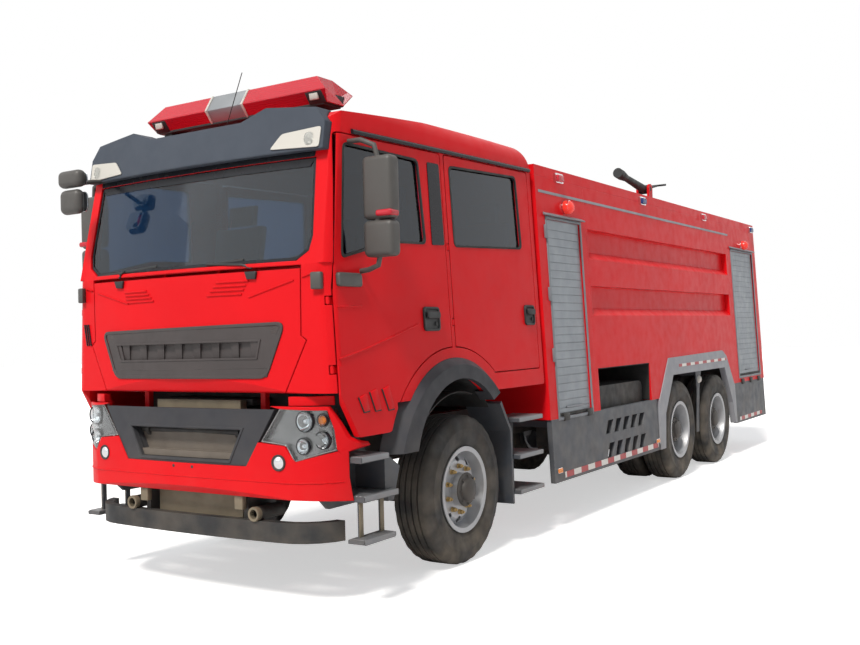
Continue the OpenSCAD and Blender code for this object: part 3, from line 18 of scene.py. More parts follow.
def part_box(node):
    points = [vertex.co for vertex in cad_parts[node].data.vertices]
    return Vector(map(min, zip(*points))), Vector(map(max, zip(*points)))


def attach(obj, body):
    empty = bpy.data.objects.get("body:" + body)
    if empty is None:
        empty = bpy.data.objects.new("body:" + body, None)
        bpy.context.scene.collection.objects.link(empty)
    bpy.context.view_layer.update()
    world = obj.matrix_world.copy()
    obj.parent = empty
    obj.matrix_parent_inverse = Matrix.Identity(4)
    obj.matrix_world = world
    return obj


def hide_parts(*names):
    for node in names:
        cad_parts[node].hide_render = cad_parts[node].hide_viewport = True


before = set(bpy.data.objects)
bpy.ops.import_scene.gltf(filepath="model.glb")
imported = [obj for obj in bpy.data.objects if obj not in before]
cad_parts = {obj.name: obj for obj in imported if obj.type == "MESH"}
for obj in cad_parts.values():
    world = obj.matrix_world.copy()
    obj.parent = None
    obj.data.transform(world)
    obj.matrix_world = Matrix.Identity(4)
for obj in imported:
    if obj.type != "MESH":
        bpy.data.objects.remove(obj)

log = logging.getLogger("fire_truck")

Point = tuple[float, float, float]
Span = tuple[float, float]
Outline = Sequence[Span]
Corners = list[Span]
Rgb = tuple[int, int, int]
Piece = bpy.types.Object
Socket = bpy.types.NodeSocket
Value = Socket | float | Sequence[float]
Rule = Callable[[Vector], Vector]

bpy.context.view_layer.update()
AXLE_Y = sum(corner[1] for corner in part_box("rim_front_left")) / 2
AXLE_Z = sum(corner[2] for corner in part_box("rim_front_left")) / 2
# Front and rear foot of the twin wheels' arch, from the front axle
REAR_ARCH = (3.985, 6.63)
# Steepest folds that are shaded smooth on a new piece and on a copied shell, and the reach of a merge
SMOOTH_ANGLE = math.radians(40)
SHELL_ANGLE = math.radians(24)
MERGE_REACH = 1e-5

# Inward lean of the sides and their half width at a height, as in the part's source
CAB_LEAN = 0.0485
BODY_LEAN = 0.0447
BOW_RADIUS = 10.0


def cab_x(z: float) -> float:
    """Half width of the cab side at height z."""
    return 1.2004 - CAB_LEAN * (z - 1.24)


def body_x(z: float) -> float:
    """Half width of the body side at height z."""
    return 1.25 - BODY_LEAN * (z - 0.4)


class Axis(Enum):
    """Direction that a flat outline is pulled along."""

    X = 0
    Y = 1
    Z = 2


class Slot(Enum):
    """Material slots of the record."""

    RED = "red_paint"
    DARK = "dark_grey"
    LIGHT = "light_grey"
    CHASSIS = "chassis_black"
    PLASTIC = "black_plastic"
    SILVER = "silver"
    WHEEL = "wheel_silver"
    TYRE = "tyre"
    GLASS = "glass"
    CLEAR = "lamp_clear"
    LAMP_RED = "lamp_red"
    COOLER = "cooler_beige"
    INSIDE = "trim_inside"
    GRILLE = "grille_brown"


def linear(colour: Rgb) -> tuple[float, float, float, float]:
    """Scene colour of a screen colour given from 0 to 255.

    Args:
        colour: Screen colour.

    Returns:
        The colour with full cover.
    """

    def channel(value: int) -> float:
        """Scene value of one channel."""
        share = value / 255
        return share / 12.92 if share <= 0.04045 else ((share + 0.055) / 1.055) ** 2.4

    return (*(channel(value) for value in colour), 1.0)


class Board:
    """Node board of one material, with its shader and the piece's own coordinates."""

    def __init__(self, name: str) -> None:
        """Start a material with one shader.

        Args:
            name: The material's name.
        """
        self.material = bpy.data.materials.new(name)
        self.material.use_nodes = True
        self.tree = self.material.node_tree
        self.shader = self.tree.nodes["Principled BSDF"]
        self.place = self.add("ShaderNodeTexCoord").outputs["Object"]

    def add(self, kind: str, inputs: dict | None = None, **settings: object) -> bpy.types.Node:
        """Add a node.

        Args:
            kind: The node's type name.
            inputs: Values or sockets for its inputs, by name or number.
            **settings: Values of the node's own properties.

        Returns:
            The new node.
        """
        node = self.tree.nodes.new(kind)
        for key, value in settings.items():
            setattr(node, key, value)
        for key, value in (inputs or {}).items():
            self.feed(node.inputs[key], value)
        return node

    def feed(self, socket: Socket, value: Value) -> None:
        """Set an input socket to a value, or link it where the value is a socket.

        Args:
            socket: The input socket.
            value: The value or the socket.
        """
        if isinstance(value, Socket):
            self.tree.links.new(value, socket)
        else:
            socket.default_value = value

    def noise(self, scale: float, detail: float = 3.0, stretch: Point = (1, 1, 1)) -> Socket:
        """Noise on the piece's coordinates.

        Args:
            scale: Spots for each metre.
            detail: Octaves of finer spots.
            stretch: Factors on the coordinates, small where spots run long.

        Returns:
            The noise value's socket.
        """
        mapping = self.add("ShaderNodeMapping", {"Vector": self.place, "Scale": stretch})
        node = self.add("ShaderNodeTexNoise", {"Vector": mapping.outputs[0], "Scale": scale, "Detail": detail})
        return node.outputs["Fac"]

    def span(self, value: Value, low: float, high: float, to_low: float = 0.0, to_high: float = 1.0) -> Socket:
        """Map a value's range to another one, clamped, and return the socket."""
        node = self.add("ShaderNodeMapRange", {0: value, 1: low, 2: high, 3: to_low, 4: to_high})
        return node.outputs[0]

    def maths(self, operation: str, first: Value, second: Value = 0.0) -> Socket:
        """Return the socket of a sum on two values."""
        return self.add("ShaderNodeMath", {0: first, 1: second}, operation=operation).outputs[0]

    def blend(self, share: Value, first: Value, second: Value) -> Socket:
        """Return the socket of a blend of two colours by a share."""
        node = self.add("ShaderNodeMix", {0: share, 6: first, 7: second}, data_type="RGBA")
        return node.outputs[2]

    def height(self) -> Socket:
        """Socket of the height above the ground."""
        return self.add("ShaderNodeSeparateXYZ", {0: self.place}).outputs["Z"]


DUST: Rgb = (150, 138, 122)
RUBBED: Rgb = (176, 172, 166)
TAPE_CELLS: Rgb = (70, 40, 42)
# Cells for each metre of tape, roughness of a clear coat, rays of a softened edge, bending of light in glass
CELL_SCALE = 160.0
COAT_ROUGHNESS = 0.06
EDGE_SAMPLES = 4
GLASS_IOR = 1.45


@dataclass(frozen=True)
class Finish:
    """A solid finish: a colour with its mottle, grain, gloss and road dust.

    Attributes:
        name: Name of the material.
        colour: Screen colour.
        roughness: Roughness of the clean surface.
        metallic: Share of bare metal.
        coat: Weight of a clear coat.
        mottle: How far the colour strays, as a share.
        mottle_scale: Spots for each metre.
        grain: Height of the fine grain in metres.
        grain_scale: Grains for each metre.
        dust: Share of dust at the ground.
        dust_top: Height at which the dust ends.
        edge: Radius of the softened edges.
        wear: Share of the edges that is rubbed paler.
        shine: Strength of the mirror-like part.
    """

    name: str
    colour: Rgb
    roughness: float = 0.5
    metallic: float = 0.0
    coat: float = 0.0
    mottle: float = 0.06
    mottle_scale: float = 3.0
    grain: float = 0.0
    grain_scale: float = 500.0
    dust: float = 0.0
    dust_top: float = 1.3
    edge: float = 0.003
    wear: float = 0.0
    shine: float = 0.5

    def material(self) -> bpy.types.Material:
        """The finish's material, made on its first use."""
        made = bpy.data.materials.get(f"look_{self.name}")
        return made or self.make()

    def make(self) -> bpy.types.Material:
        """Build the material's nodes.

        Returns:
            The new material.
        """
        board = Board(f"look_{self.name}")
        shader = board.shader
        shader.inputs["Metallic"].default_value = self.metallic
        shader.inputs["Coat Weight"].default_value = self.coat
        shader.inputs["Coat Roughness"].default_value = COAT_ROUGHNESS
        shader.inputs["Specular IOR Level"].default_value = self.shine
        normal = board.add("ShaderNodeBevel", {"Radius": self.edge}, samples=EDGE_SAMPLES).outputs[0]
        colour = self.base(board)
        if self.wear:
            colour = self.rubbed(board, colour, normal)
        dust = None
        if self.dust:
            low = board.span(board.height(), self.dust_top, 0.1, 0.0, 1.0)
            cloud = board.span(board.noise(5.0, 5.0), 0.35, 0.75)
            dust = board.maths("MULTIPLY", board.maths("MULTIPLY", low, cloud), self.dust)
            colour = board.blend(dust, colour, linear(DUST))
        board.feed(shader.inputs["Base Color"], colour)
        rough = board.span(board.noise(9.0, 4.0), 0.3, 0.7, self.roughness * 0.8, min(1.0, self.roughness * 1.25))
        if dust is not None:
            rough = board.maths("ADD", rough, board.maths("MULTIPLY", dust, 0.4))
        board.feed(shader.inputs["Roughness"], rough)
        board.feed(shader.inputs["Normal"], self.relief(board, normal))
        return board.material

    def relief(self, board: Board, normal: Socket) -> Socket:
        """Socket of the normal with the fine grain on it.

        Args:
            board: The material's node board.
            normal: Socket of the softened normal.

        Returns:
            The socket of the new normal.
        """
        if not self.grain:
            return normal
        grain = board.noise(self.grain_scale, 2.0)
        inputs = {"Strength": 0.5, "Distance": self.grain, "Normal": normal, "Height": grain}
        return board.add("ShaderNodeBump", inputs).outputs[0]

    def base(self, board: Board) -> Socket:
        """Socket of the clean colour with its mottle.

        Args:
            board: The material's node board.

        Returns:
            The socket of the colour.
        """
        pale = tuple(min(1.0, part * (1 + self.mottle)) for part in linear(self.colour)[:3])
        deep = tuple(part * (1 - self.mottle) for part in linear(self.colour)[:3])
        share = board.span(board.noise(self.mottle_scale, 4.0), 0.3, 0.7)
        return board.blend(share, (*deep, 1.0), (*pale, 1.0))

    def rubbed(self, board: Board, colour: Socket, soft_normal: Socket) -> Socket:
        """Socket of the colour with its edges rubbed paler.

        Args:
            board: The material's node board.
            colour: Socket of the colour so far.
            soft_normal: Socket of the softened normal.

        Returns:
            The socket of the new colour.
        """
        true_normal = board.add("ShaderNodeNewGeometry").outputs["Normal"]
        dot = board.add("ShaderNodeVectorMath", {0: soft_normal, 1: true_normal}, operation="DOT_PRODUCT")
        edge = board.span(dot.outputs["Value"], 0.995, 0.8)
        patch = board.span(board.noise(40.0, 4.0), 0.45, 0.6, 0.0, self.wear)
        return board.blend(board.maths("MULTIPLY", edge, patch), colour, linear(RUBBED))


@dataclass(frozen=True)
class Glazing(Finish):
    """See-through glass or lens, tinted by its colour.

    Attributes:
        clear: Share of light let through.
        glow: Strength of the colour's own light.
    """

    clear: float = 1.0
    glow: float = 0.0

    def make(self) -> bpy.types.Material:
        """Build the material's nodes.

        Returns:
            The new material.
        """
        board = Board(f"look_{self.name}")
        shader = board.shader
        shader.inputs["Transmission Weight"].default_value = self.clear
        shader.inputs["IOR"].default_value = GLASS_IOR
        board.feed(shader.inputs["Base Color"], self.base(board))
        film = board.span(board.noise(7.0, 5.0), 0.4, 0.75, self.roughness, self.roughness + 0.06)
        board.feed(shader.inputs["Roughness"], film)
        if self.glow:
            shader.inputs["Emission Color"].default_value = linear(self.colour)
            shader.inputs["Emission Strength"].default_value = self.glow
        if self.grain:
            prisms = board.add(
                "ShaderNodeTexWave",
                {"Vector": board.place, "Scale": self.grain_scale, "Distortion": 0.3},
                bands_direction="Y",
            )
            bump = board.add("ShaderNodeBump",
                             {"Strength": 0.6, "Distance": self.grain, "Height": prisms.outputs["Fac"]})
            board.feed(shader.inputs["Normal"], bump.outputs[0])
        return board.material


@dataclass(frozen=True)
class Tape(Finish):
    """Reflecting tape in blocks of two colours along Y.

    Attributes:
        second: Screen colour of the other blocks.
        pitch: Length of one pair of blocks.
    """

    second: Rgb = (232, 230, 226)
    pitch: float = 0.3

    def base(self, board: Board) -> Socket:
        """Socket of the blocks' colour, with a fine honeycomb in them.

        Args:
            board: The material's node board.

        Returns:
            The socket of the colour.
        """
        along = board.add("ShaderNodeSeparateXYZ", {0: board.place}).outputs["Y"]
        pairs = board.maths("FRACT", board.maths("DIVIDE", along, self.pitch))
        cells = board.add("ShaderNodeTexVoronoi", {"Vector": board.place, "Scale": CELL_SCALE})
        shade = board.span(cells.outputs["Distance"], 0.0, 0.7, 1.0, 0.8)
        colour = board.blend(board.maths("GREATER_THAN", pairs, 0.5), linear(self.colour), linear(self.second))
        return board.blend(shade, linear(TAPE_CELLS), colour)


@dataclass(frozen=True)
class Chequer(Finish):
    """Metal with raised tread marks on it, by their pitch in metres."""

    pitch: float = 0.03

    def relief(self, board: Board, normal: Socket) -> Socket:
        """Socket of the normal with the raised marks on it.

        Args:
            board: The material's node board.
            normal: Socket of the softened normal.

        Returns:
            The socket of the new normal.
        """
        inputs = {"Vector": board.place, "Scale": 1 / self.pitch, "Randomness": 0.0}
        marks = board.add("ShaderNodeTexVoronoi", inputs, feature="F1").outputs["Distance"]
        dome = board.span(marks, 0.45, 0.25)
        inputs = {"Strength": 0.8, "Distance": 0.004, "Normal": super().relief(board, normal), "Height": dome}
        return board.add("ShaderNodeBump", inputs).outputs[0]


RED_PAINT = Finish("red_paint", (214, 20, 28), 0.36, coat=0.04, mottle=0.05, mottle_scale=1.4, grain=0.0003,
                   grain_scale=200, dust=0.18, dust_top=0.9, edge=0.008, shine=0.1)
DARK_GREY = Finish("dark_grey", (66, 70, 77), 0.48, mottle=0.08, grain=0.0004, dust=0.35, edge=0.005, wear=0.25)
VISOR_GREY = Finish("visor_grey", (70, 76, 86), 0.6, mottle=0.05, grain=0.0003, edge=0.02, shine=0.15)
LIGHT_GREY = Finish("light_grey", (138, 140, 147), 0.45, mottle=0.07, dust=0.3, edge=0.006, wear=0.2)
CHASSIS_BLACK = Finish("chassis_black", (33, 33, 35), 0.62, mottle=0.15, grain=0.0006, grain_scale=300, dust=0.55)
BLACK_PLASTIC = Finish("black_plastic", (30, 31, 33), 0.55, mottle=0.1, grain=0.0005, grain_scale=900, dust=0.3,
                       edge=0.006)
GLOSS_BLACK = Finish("gloss_black", (30, 31, 36), 0.25, mottle=0.1, edge=0.002, shine=0.2)
FLARE_GREY = Finish("flare_grey", (52, 53, 58), 0.55, mottle=0.08, grain=0.0004, grain_scale=700, dust=0.3, edge=0.008,
                    shine=0.3)
FRAME_GREY = Finish("frame_grey", (116, 120, 126), 0.45, metallic=0.2, mottle=0.06, mottle_scale=7, grain=0.0002,
                    edge=0.003)
SLOT_BROWN = Finish("slot_brown", (98, 90, 82), 0.6, mottle=0.12, mottle_scale=7, grain=0.0005, dust=0.2)
GRILLE_MESH = Chequer("grille_mesh", (62, 55, 54), 0.5, mottle=0.12, pitch=0.012)
SILVER = Finish("silver", (150, 153, 158), 0.4, metallic=0.75, mottle=0.05, mottle_scale=6, grain=0.0002, dust=0.15)
SHUTTER = Finish("shutter_slats", (140, 146, 152), 0.46, metallic=0.55, mottle=0.05, mottle_scale=5, grain=0.0002)
WHEEL_SILVER = Finish("wheel_silver", (172, 174, 178), 0.42, metallic=0.6, mottle=0.1, mottle_scale=9, grain=0.0004,
                      dust=0.25, wear=0.2)
BRASS_NUT = Finish("nut_brass", (176, 148, 98), 0.4, metallic=0.8, mottle=0.15, mottle_scale=30)
CHROME = Finish("chrome", (226, 228, 230), 0.08, metallic=1.0, mottle=0.03, edge=0.001)
TYRE = Finish("tyre", (44, 43, 43), 0.78, mottle=0.12, mottle_scale=6, grain=0.0008, grain_scale=220, dust=0.5,
              dust_top=1.4,
              edge=0.004)
COOLER = Finish("cooler_beige", (120, 110, 92), 0.55, metallic=0.3, mottle=0.14, mottle_scale=6, grain=0.0006, dust=0.3)
GRILLE = Finish("grille_brown", (58, 52, 52), 0.5, mottle=0.12, grain=0.0004, dust=0.15, edge=0.004)
INSIDE = Finish("trim_inside", (46, 48, 52), 0.7, mottle=0.1, grain=0.0006, grain_scale=800)
FABRIC = Finish("seat_fabric", (54, 56, 62), 0.85, mottle=0.16, mottle_scale=60, grain=0.0008, grain_scale=1200)
HUB = Finish("hub_dark", (52, 50, 50), 0.5, metallic=0.3, mottle=0.15, mottle_scale=14, dust=0.3, edge=0.002)
SPEAKER = Finish("speaker_silver", (146, 150, 154), 0.42, metallic=0.5, mottle=0.06, grain=0.0008, grain_scale=320)
LAMP_SILVER = Finish("lamp_silver", (148, 146, 146), 0.24, metallic=0.85, mottle=0.06, mottle_scale=12, edge=0.002)
RUBBER = Finish("rubber", (24, 24, 25), 0.7, mottle=0.12, grain=0.0004, dust=0.2, edge=0.002)
WHITE_PANEL = Finish("white_panel", (198, 195, 188), 0.4, coat=0.1, mottle=0.04, edge=0.003)
MIRROR_GREY = Finish("mirror_grey", (72, 70, 68), 0.5, mottle=0.06, grain=0.0004, grain_scale=900, edge=0.008)
MIRROR_GLASS = Finish("mirror_glass", (214, 220, 226), 0.03, metallic=1.0, mottle=0.02, edge=0.001)
SCREEN_GLASS = Glazing("screen_glass", (112, 138, 160), 0.02, mottle=0.05)
DOOR_GLASS = Glazing("door_glass", (58, 90, 120), 0.02, mottle=0.06)
CLEAR_LENS = Glazing("clear_lens", (236, 240, 242), 0.02, mottle=0.02)
RED_LENS = Glazing("red_lens", (216, 34, 54), 0.08, mottle=0.05, clear=0.28, grain=0.0012, grain_scale=30)
BEACON_LENS = Glazing("beacon_lens", (242, 60, 48), 0.1, mottle=0.06, clear=0.3, grain=0.001, grain_scale=60, glow=0.2)
AMBER_LENS = Glazing("amber_lens", (240, 142, 40), 0.1, mottle=0.06, clear=0.45, grain=0.001, grain_scale=60, glow=0.12)
BLUE_LENS = Glazing("blue_lens", (34, 58, 132), 0.1, mottle=0.06, clear=0.4, grain=0.001, grain_scale=60)
TAPE = Tape("reflecting_tape", (176, 34, 44), 0.35, mottle=0.03, dust=0.2)
TREAD_PLATE = Chequer("tread_plate", (126, 128, 132), 0.42, metallic=0.6, mottle=0.08, dust=0.3, wear=0.3)


class Bench:
    """Models meshes with Blender's own tools, one new object at a time."""

    @staticmethod
    def clear() -> None:
        """Leave edit mode and deselect everything."""
        if bpy.context.mode != "OBJECT":
            bpy.ops.object.mode_set(mode="OBJECT")
        bpy.ops.object.select_all(action="DESELECT")

    @staticmethod
    def only(piece: Piece) -> None:
        """Make a piece the one selected and active object.

        Args:
            piece: The piece.
        """
        Bench.clear()
        piece.select_set(True)
        bpy.context.view_layer.objects.active = piece

    @staticmethod
    @contextmanager
    def editing() -> Iterator[None]:
        """Edit mode on the active object, with all of its mesh selected."""
        bpy.ops.object.mode_set(mode="EDIT")
        bpy.ops.mesh.select_all(action="SELECT")
        yield
        bpy.ops.object.mode_set(mode="OBJECT")

    @staticmethod
    def pull(axis: Axis, length: float) -> None:
        """Pull the whole mesh in edit mode along an axis, and turn its faces outwards.

        Args:
            axis: Direction of the pull.
            length: Its length.
        """
        move = [0.0, 0.0, 0.0]
        move[axis.value] = length
        bpy.ops.mesh.extrude_region_move(TRANSFORM_OT_translate={"value": move})
        bpy.ops.mesh.select_all(action="SELECT")
        bpy.ops.mesh.normals_make_consistent(inside=False)

    @staticmethod
    def apply(piece: Piece, kind: str, **settings: object) -> Piece:
        """Finish a piece with a modifier and apply it.

        Args:
            piece: The piece.
            kind: The modifier's type.
            **settings: The modifier's values.

        Returns:
            The same piece.
        """
        Bench.only(piece)
        modifier = piece.modifiers.new(kind.lower(), kind)
        for key, value in settings.items():
            setattr(modifier, key, value)
        bpy.ops.object.modifier_apply(modifier=modifier.name)
        return piece

    @staticmethod
    def soften(piece: Piece, bevel: float, segments: int = 2) -> Piece:
        """Bevel a piece's edges, where a width is given, and shade it smooth.

        Args:
            piece: The piece.
            bevel: Width of its bevelled edges, or 0.
            segments: Steps of the bevel.

        Returns:
            The same piece.
        """
        if bevel:
            Bench.apply(piece, "BEVEL", width=bevel, segments=segments, limit_method="ANGLE", angle_limit=0.6)
        Bench.only(piece)
        bpy.ops.object.shade_smooth_by_angle(angle=SMOOTH_ANGLE)
        return piece

    @staticmethod
    def box(low: Point, high: Point, bevel: float = 0.0, segments: int = 2) -> Piece:
        """Block between two corners.

        Args:
            low: Lowest corner.
            high: Highest corner.
            bevel: Width of its bevelled edges.
            segments: Steps of the bevel.

        Returns:
            The new piece.
        """
        Bench.clear()
        middle = [(a + b) / 2 for a, b in zip(low, high)]
        bpy.ops.mesh.primitive_cube_add(size=1, location=middle)
        piece = bpy.context.object
        piece.scale = [b - a for a, b in zip(low, high)]
        bpy.ops.object.transform_apply(location=True, rotation=True, scale=True)
        return Bench.soften(piece, bevel, segments)

    @staticmethod
    def sheet(outline: Outline, axis: Axis, level: float) -> Piece:
        """Flat face with a given outline.

        Args:
            outline: Corners in the two other coordinates, in their order X, Y, Z.
            axis: Direction that the face looks along.
            level: Its place on that axis.

        Returns:
            The new piece.
        """
        Bench.clear()
        bpy.ops.mesh.primitive_circle_add(vertices=len(outline), fill_type="NGON")
        piece = bpy.context.object
        for vertex, corner in zip(piece.data.vertices, outline):
            spot = list(corner)
            spot.insert(axis.value, level)
            vertex.co = spot
        return piece

    @staticmethod
    def prism(outline: Outline, axis: Axis, start: float, end: float, bevel: float = 0.0,
              segments: int = 2) -> Piece:
        """Solid pulled from a flat outline.

        Args:
            outline: Corners in the two other coordinates, in their order X, Y, Z.
            axis: Direction of the pull.
            start: Where the pull starts.
            end: Where it ends.
            bevel: Width of its bevelled edges.
            segments: Steps of the bevel.

        Returns:
            The new piece.
        """
        piece = Bench.sheet(outline, axis, start)
        with Bench.editing():
            Bench.pull(axis, end - start)
        return Bench.soften(piece, bevel, segments)

    @staticmethod
    def band(outer: Outline, inner: Outline, axis: Axis, start: float, end: float, bevel: float = 0.0) -> Piece:
        """Frame between two outlines of as many corners.

        Args:
            outer: Corners of the outer edge.
            inner: Corners of the inner edge, in the same order.
            axis: Direction of the frame's depth.
            start: Where the depth starts.
            end: Where it ends.
            bevel: Width of its bevelled edges.

        Returns:
            The new piece.
        """
        piece = Bench.join([Bench.sheet(outline, axis, start) for outline in (outer, inner)])
        with Bench.editing():
            bpy.ops.mesh.delete(type="ONLY_FACE")
            bpy.ops.mesh.select_all(action="SELECT")
            bpy.ops.mesh.bridge_edge_loops()
            bpy.ops.mesh.select_all(action="SELECT")
            Bench.pull(axis, end - start)
        return Bench.soften(piece, bevel)

    @staticmethod
    def spin(profile: Outline, centre: Point, axis: Axis, steps: int = 48) -> Piece:
        """Round piece spun from a closed profile.

        Args:
            profile: Corners as radius and place along the axis.
            centre: Point that the places along the axis are counted from.
            axis: Axis of the spin.
            steps: Steps of the turn.

        Returns:
            The new piece.
        """
        Bench.clear()
        bpy.ops.mesh.primitive_circle_add(vertices=len(profile), fill_type="NOTHING")
        piece = bpy.context.object
        across = (axis.value + 1) % 3
        for vertex, (radius, along) in zip(piece.data.vertices, profile):
            spot = [0.0, 0.0, 0.0]
            spot[axis.value] = along
            spot[across] = radius
            vertex.co = spot
        line = [0.0, 0.0, 0.0]
        line[axis.value] = 1.0
        with Bench.editing():
            bpy.ops.mesh.spin(steps=steps, angle=math.tau, center=(0, 0, 0), axis=line)
            bpy.ops.mesh.select_all(action="SELECT")
            bpy.ops.mesh.remove_doubles(threshold=MERGE_REACH)
            bpy.ops.mesh.normals_make_consistent(inside=False)
        piece.data.transform(Matrix.Translation(centre))
        return Bench.soften(piece, 0.0)

    @staticmethod
    def pipe(points: Sequence[Point], radius: float, steps: int = 4) -> Piece:
        """Round bar along a path.

        Args:
            points: Corners of the path.
            radius: Radius of the bar.
            steps: Steps of a quarter turn round the bar.

        Returns:
            The new piece.
        """
        Bench.clear()
        curve = bpy.data.curves.new("path", "CURVE")
        curve.dimensions = "3D"
        curve.bevel_depth = radius
        curve.bevel_resolution = steps
        curve.use_fill_caps = True
        spline = curve.splines.new("POLY")
        spline.points.add(len(points) - 1)
        for point, spot in zip(spline.points, points):
            point.co = (*spot, 1.0)
        piece = bpy.data.objects.new("path", curve)
        bpy.context.collection.objects.link(piece)
        Bench.only(piece)
        bpy.ops.object.convert(target="MESH")
        return Bench.soften(bpy.context.object, 0.0)

    @staticmethod
    def twin(piece: Piece, move: Matrix) -> Piece:
        """Copy of a piece with a mesh of its own, moved by a matrix.

        Args:
            piece: The piece.
            move: The matrix.

        Returns:
            The copy.
        """
        copy = piece.copy()
        copy.data = piece.data.copy()
        copy.data.transform(move)
        bpy.context.collection.objects.link(copy)
        return copy

    @staticmethod
    def copies(piece: Piece, moves: Iterable[Point]) -> Piece:
        """One object with a copy of a piece at each move, the piece itself taken away.

        Args:
            piece: The piece.
            moves: One move for each copy.

        Returns:
            The new piece.
        """
        made = [Bench.twin(piece, Matrix.Translation(move)) for move in moves]
        bpy.data.objects.remove(piece)
        return Bench.join(made)

    @staticmethod
    def ring(piece: Piece, count: int, centre: Point, axis: Axis) -> Piece:
        """One object with copies of a piece turned evenly round an axis, the piece itself among them.

        Args:
            piece: The piece.
            count: How many there are in all.
            centre: A point on the axis.
            axis: The axis.

        Returns:
            The new piece.
        """
        made = [piece]
        for step in range(1, count):
            turn = Matrix.Rotation(math.tau * step / count, 4, axis.name)
            made.append(Bench.twin(piece, Matrix.Translation(centre) @ turn @ Matrix.Translation(-Vector(centre))))
        return Bench.join(made)

    @staticmethod
    def join(pieces: Sequence[Piece]) -> Piece:
        """Join pieces into the first one.

        Args:
            pieces: The pieces.

        Returns:
            The first piece, with the others in it.
        """
        Bench.only(pieces[0])
        for piece in pieces[1:]:
            piece.select_set(True)
        if len(pieces) > 1:
            bpy.ops.object.join()
        return bpy.context.object

    @staticmethod
    def both_sides(piece: Piece) -> Piece:
        """Add a piece's mirror image on the truck's other side to it."""
        return Bench.apply(piece, "MIRROR", use_axis=(True, False, False), use_mirror_merge=False)

    @staticmethod
    def other_side(piece: Piece) -> Piece:
        """Mirror image of a piece as an object of its own.

        Args:
            piece: The piece.

        Returns:
            The new piece.
        """
        twin = Bench.twin(piece, Matrix.Scale(-1, 4, (1, 0, 0)))
        twin.data.flip_normals()
        return twin

    @staticmethod
    def reshape(piece: Piece, rule: Rule) -> Piece:
        """Move each corner of a piece by a rule.

        Args:
            piece: The piece.
            rule: Where each corner goes.

        Returns:
            The same piece.
        """
        for vertex in piece.data.vertices:
            vertex.co = rule(vertex.co.copy())
        return piece

    @staticmethod
    def refine(piece: Piece, cuts: int) -> Piece:
        """Cut a piece's faces into triangles and those into smaller ones.

        Args:
            piece: The piece.
            cuts: Cuts in each edge.

        Returns:
            The same piece.
        """
        Bench.only(piece)
        with Bench.editing():
            bpy.ops.mesh.quads_convert_to_tris()
            bpy.ops.mesh.subdivide(number_cuts=cuts)
        return piece

    @staticmethod
    def drape(piece: Piece, node: str, axis: Axis, proud: float, thick: float, back: bool = False) -> Piece:
        """Lay a flat piece on a CAD node's surface and give it a thickness.

        Args:
            piece: A flat piece in axle-based places.
            node: The CAD node that it lies on.
            axis: Direction of the throw.
            proud: Height over the surface.
            thick: Thickness of the sheet.
            back: Throw towards the low end of the axis instead of both ways.

        Returns:
            The same piece.
        """
        piece.data.transform(Matrix.Translation((0, AXLE_Y, 0)))
        Bench.apply(
            piece, "SHRINKWRAP", target=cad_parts[node], wrap_method="PROJECT", offset=proud,
            use_project_x=axis is Axis.X, use_project_y=axis is Axis.Y, use_project_z=axis is Axis.Z,
            use_negative_direction=True, use_positive_direction=not back,
        )
        piece.data.transform(Matrix.Translation((0, -AXLE_Y, 0)))
        Bench.apply(piece, "SOLIDIFY", thickness=thick, offset=0.0)
        return Bench.soften(piece, 0.0)


def dress(piece: Piece, name: str, finish: Finish, body: str,
          replaces: Sequence[str] = ()) -> Piece:
    """Name a finished piece, move it into the part's frame, and give it its finish and its body.

    Args:
        piece: The piece, in axle-based places.
        name: Its name.
        finish: Its finish.
        body: The CAD body that it rides on.
        replaces: CAD nodes that it stands for.

    Returns:
        The same piece.
    """
    piece.name = name
    piece.data.name = name
    piece.data.transform(Matrix.Translation((0, AXLE_Y, 0)))
    piece.data.materials.clear()
    piece.data.materials.append(finish.material())
    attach(piece, body)
    if replaces:
        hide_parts(*replaces)
    log.info("%s: %d faces on %s", name, len(piece.data.polygons), body)
    return piece


def rounded_box(y0: float, y1: float, z0: float, z1: float, radius: float, steps: int = 5) -> Corners:
    """Corners of a rectangle with rounded corners, counter-clockwise.

    Args:
        y0: Low end of the first coordinate.
        y1: High end of it.
        z0: Low end of the second coordinate.
        z1: High end of it.
        radius: Radius of the corners.
        steps: Steps of each corner.

    Returns:
        The corners.
    """
    corners = []
    for y, z, start in ((y1, z1, 0), (y0, z1, 90), (y0, z0, 180), (y1, z0, 270)):
        cy = y - radius if y == y1 else y + radius
        cz = z - radius if z == z1 else z + radius
        for step in range(steps + 1):
            turn = math.radians(start + 90 * step / steps)
            corners.append((cy + radius * math.cos(turn), cz + radius * math.sin(turn)))
    return corners


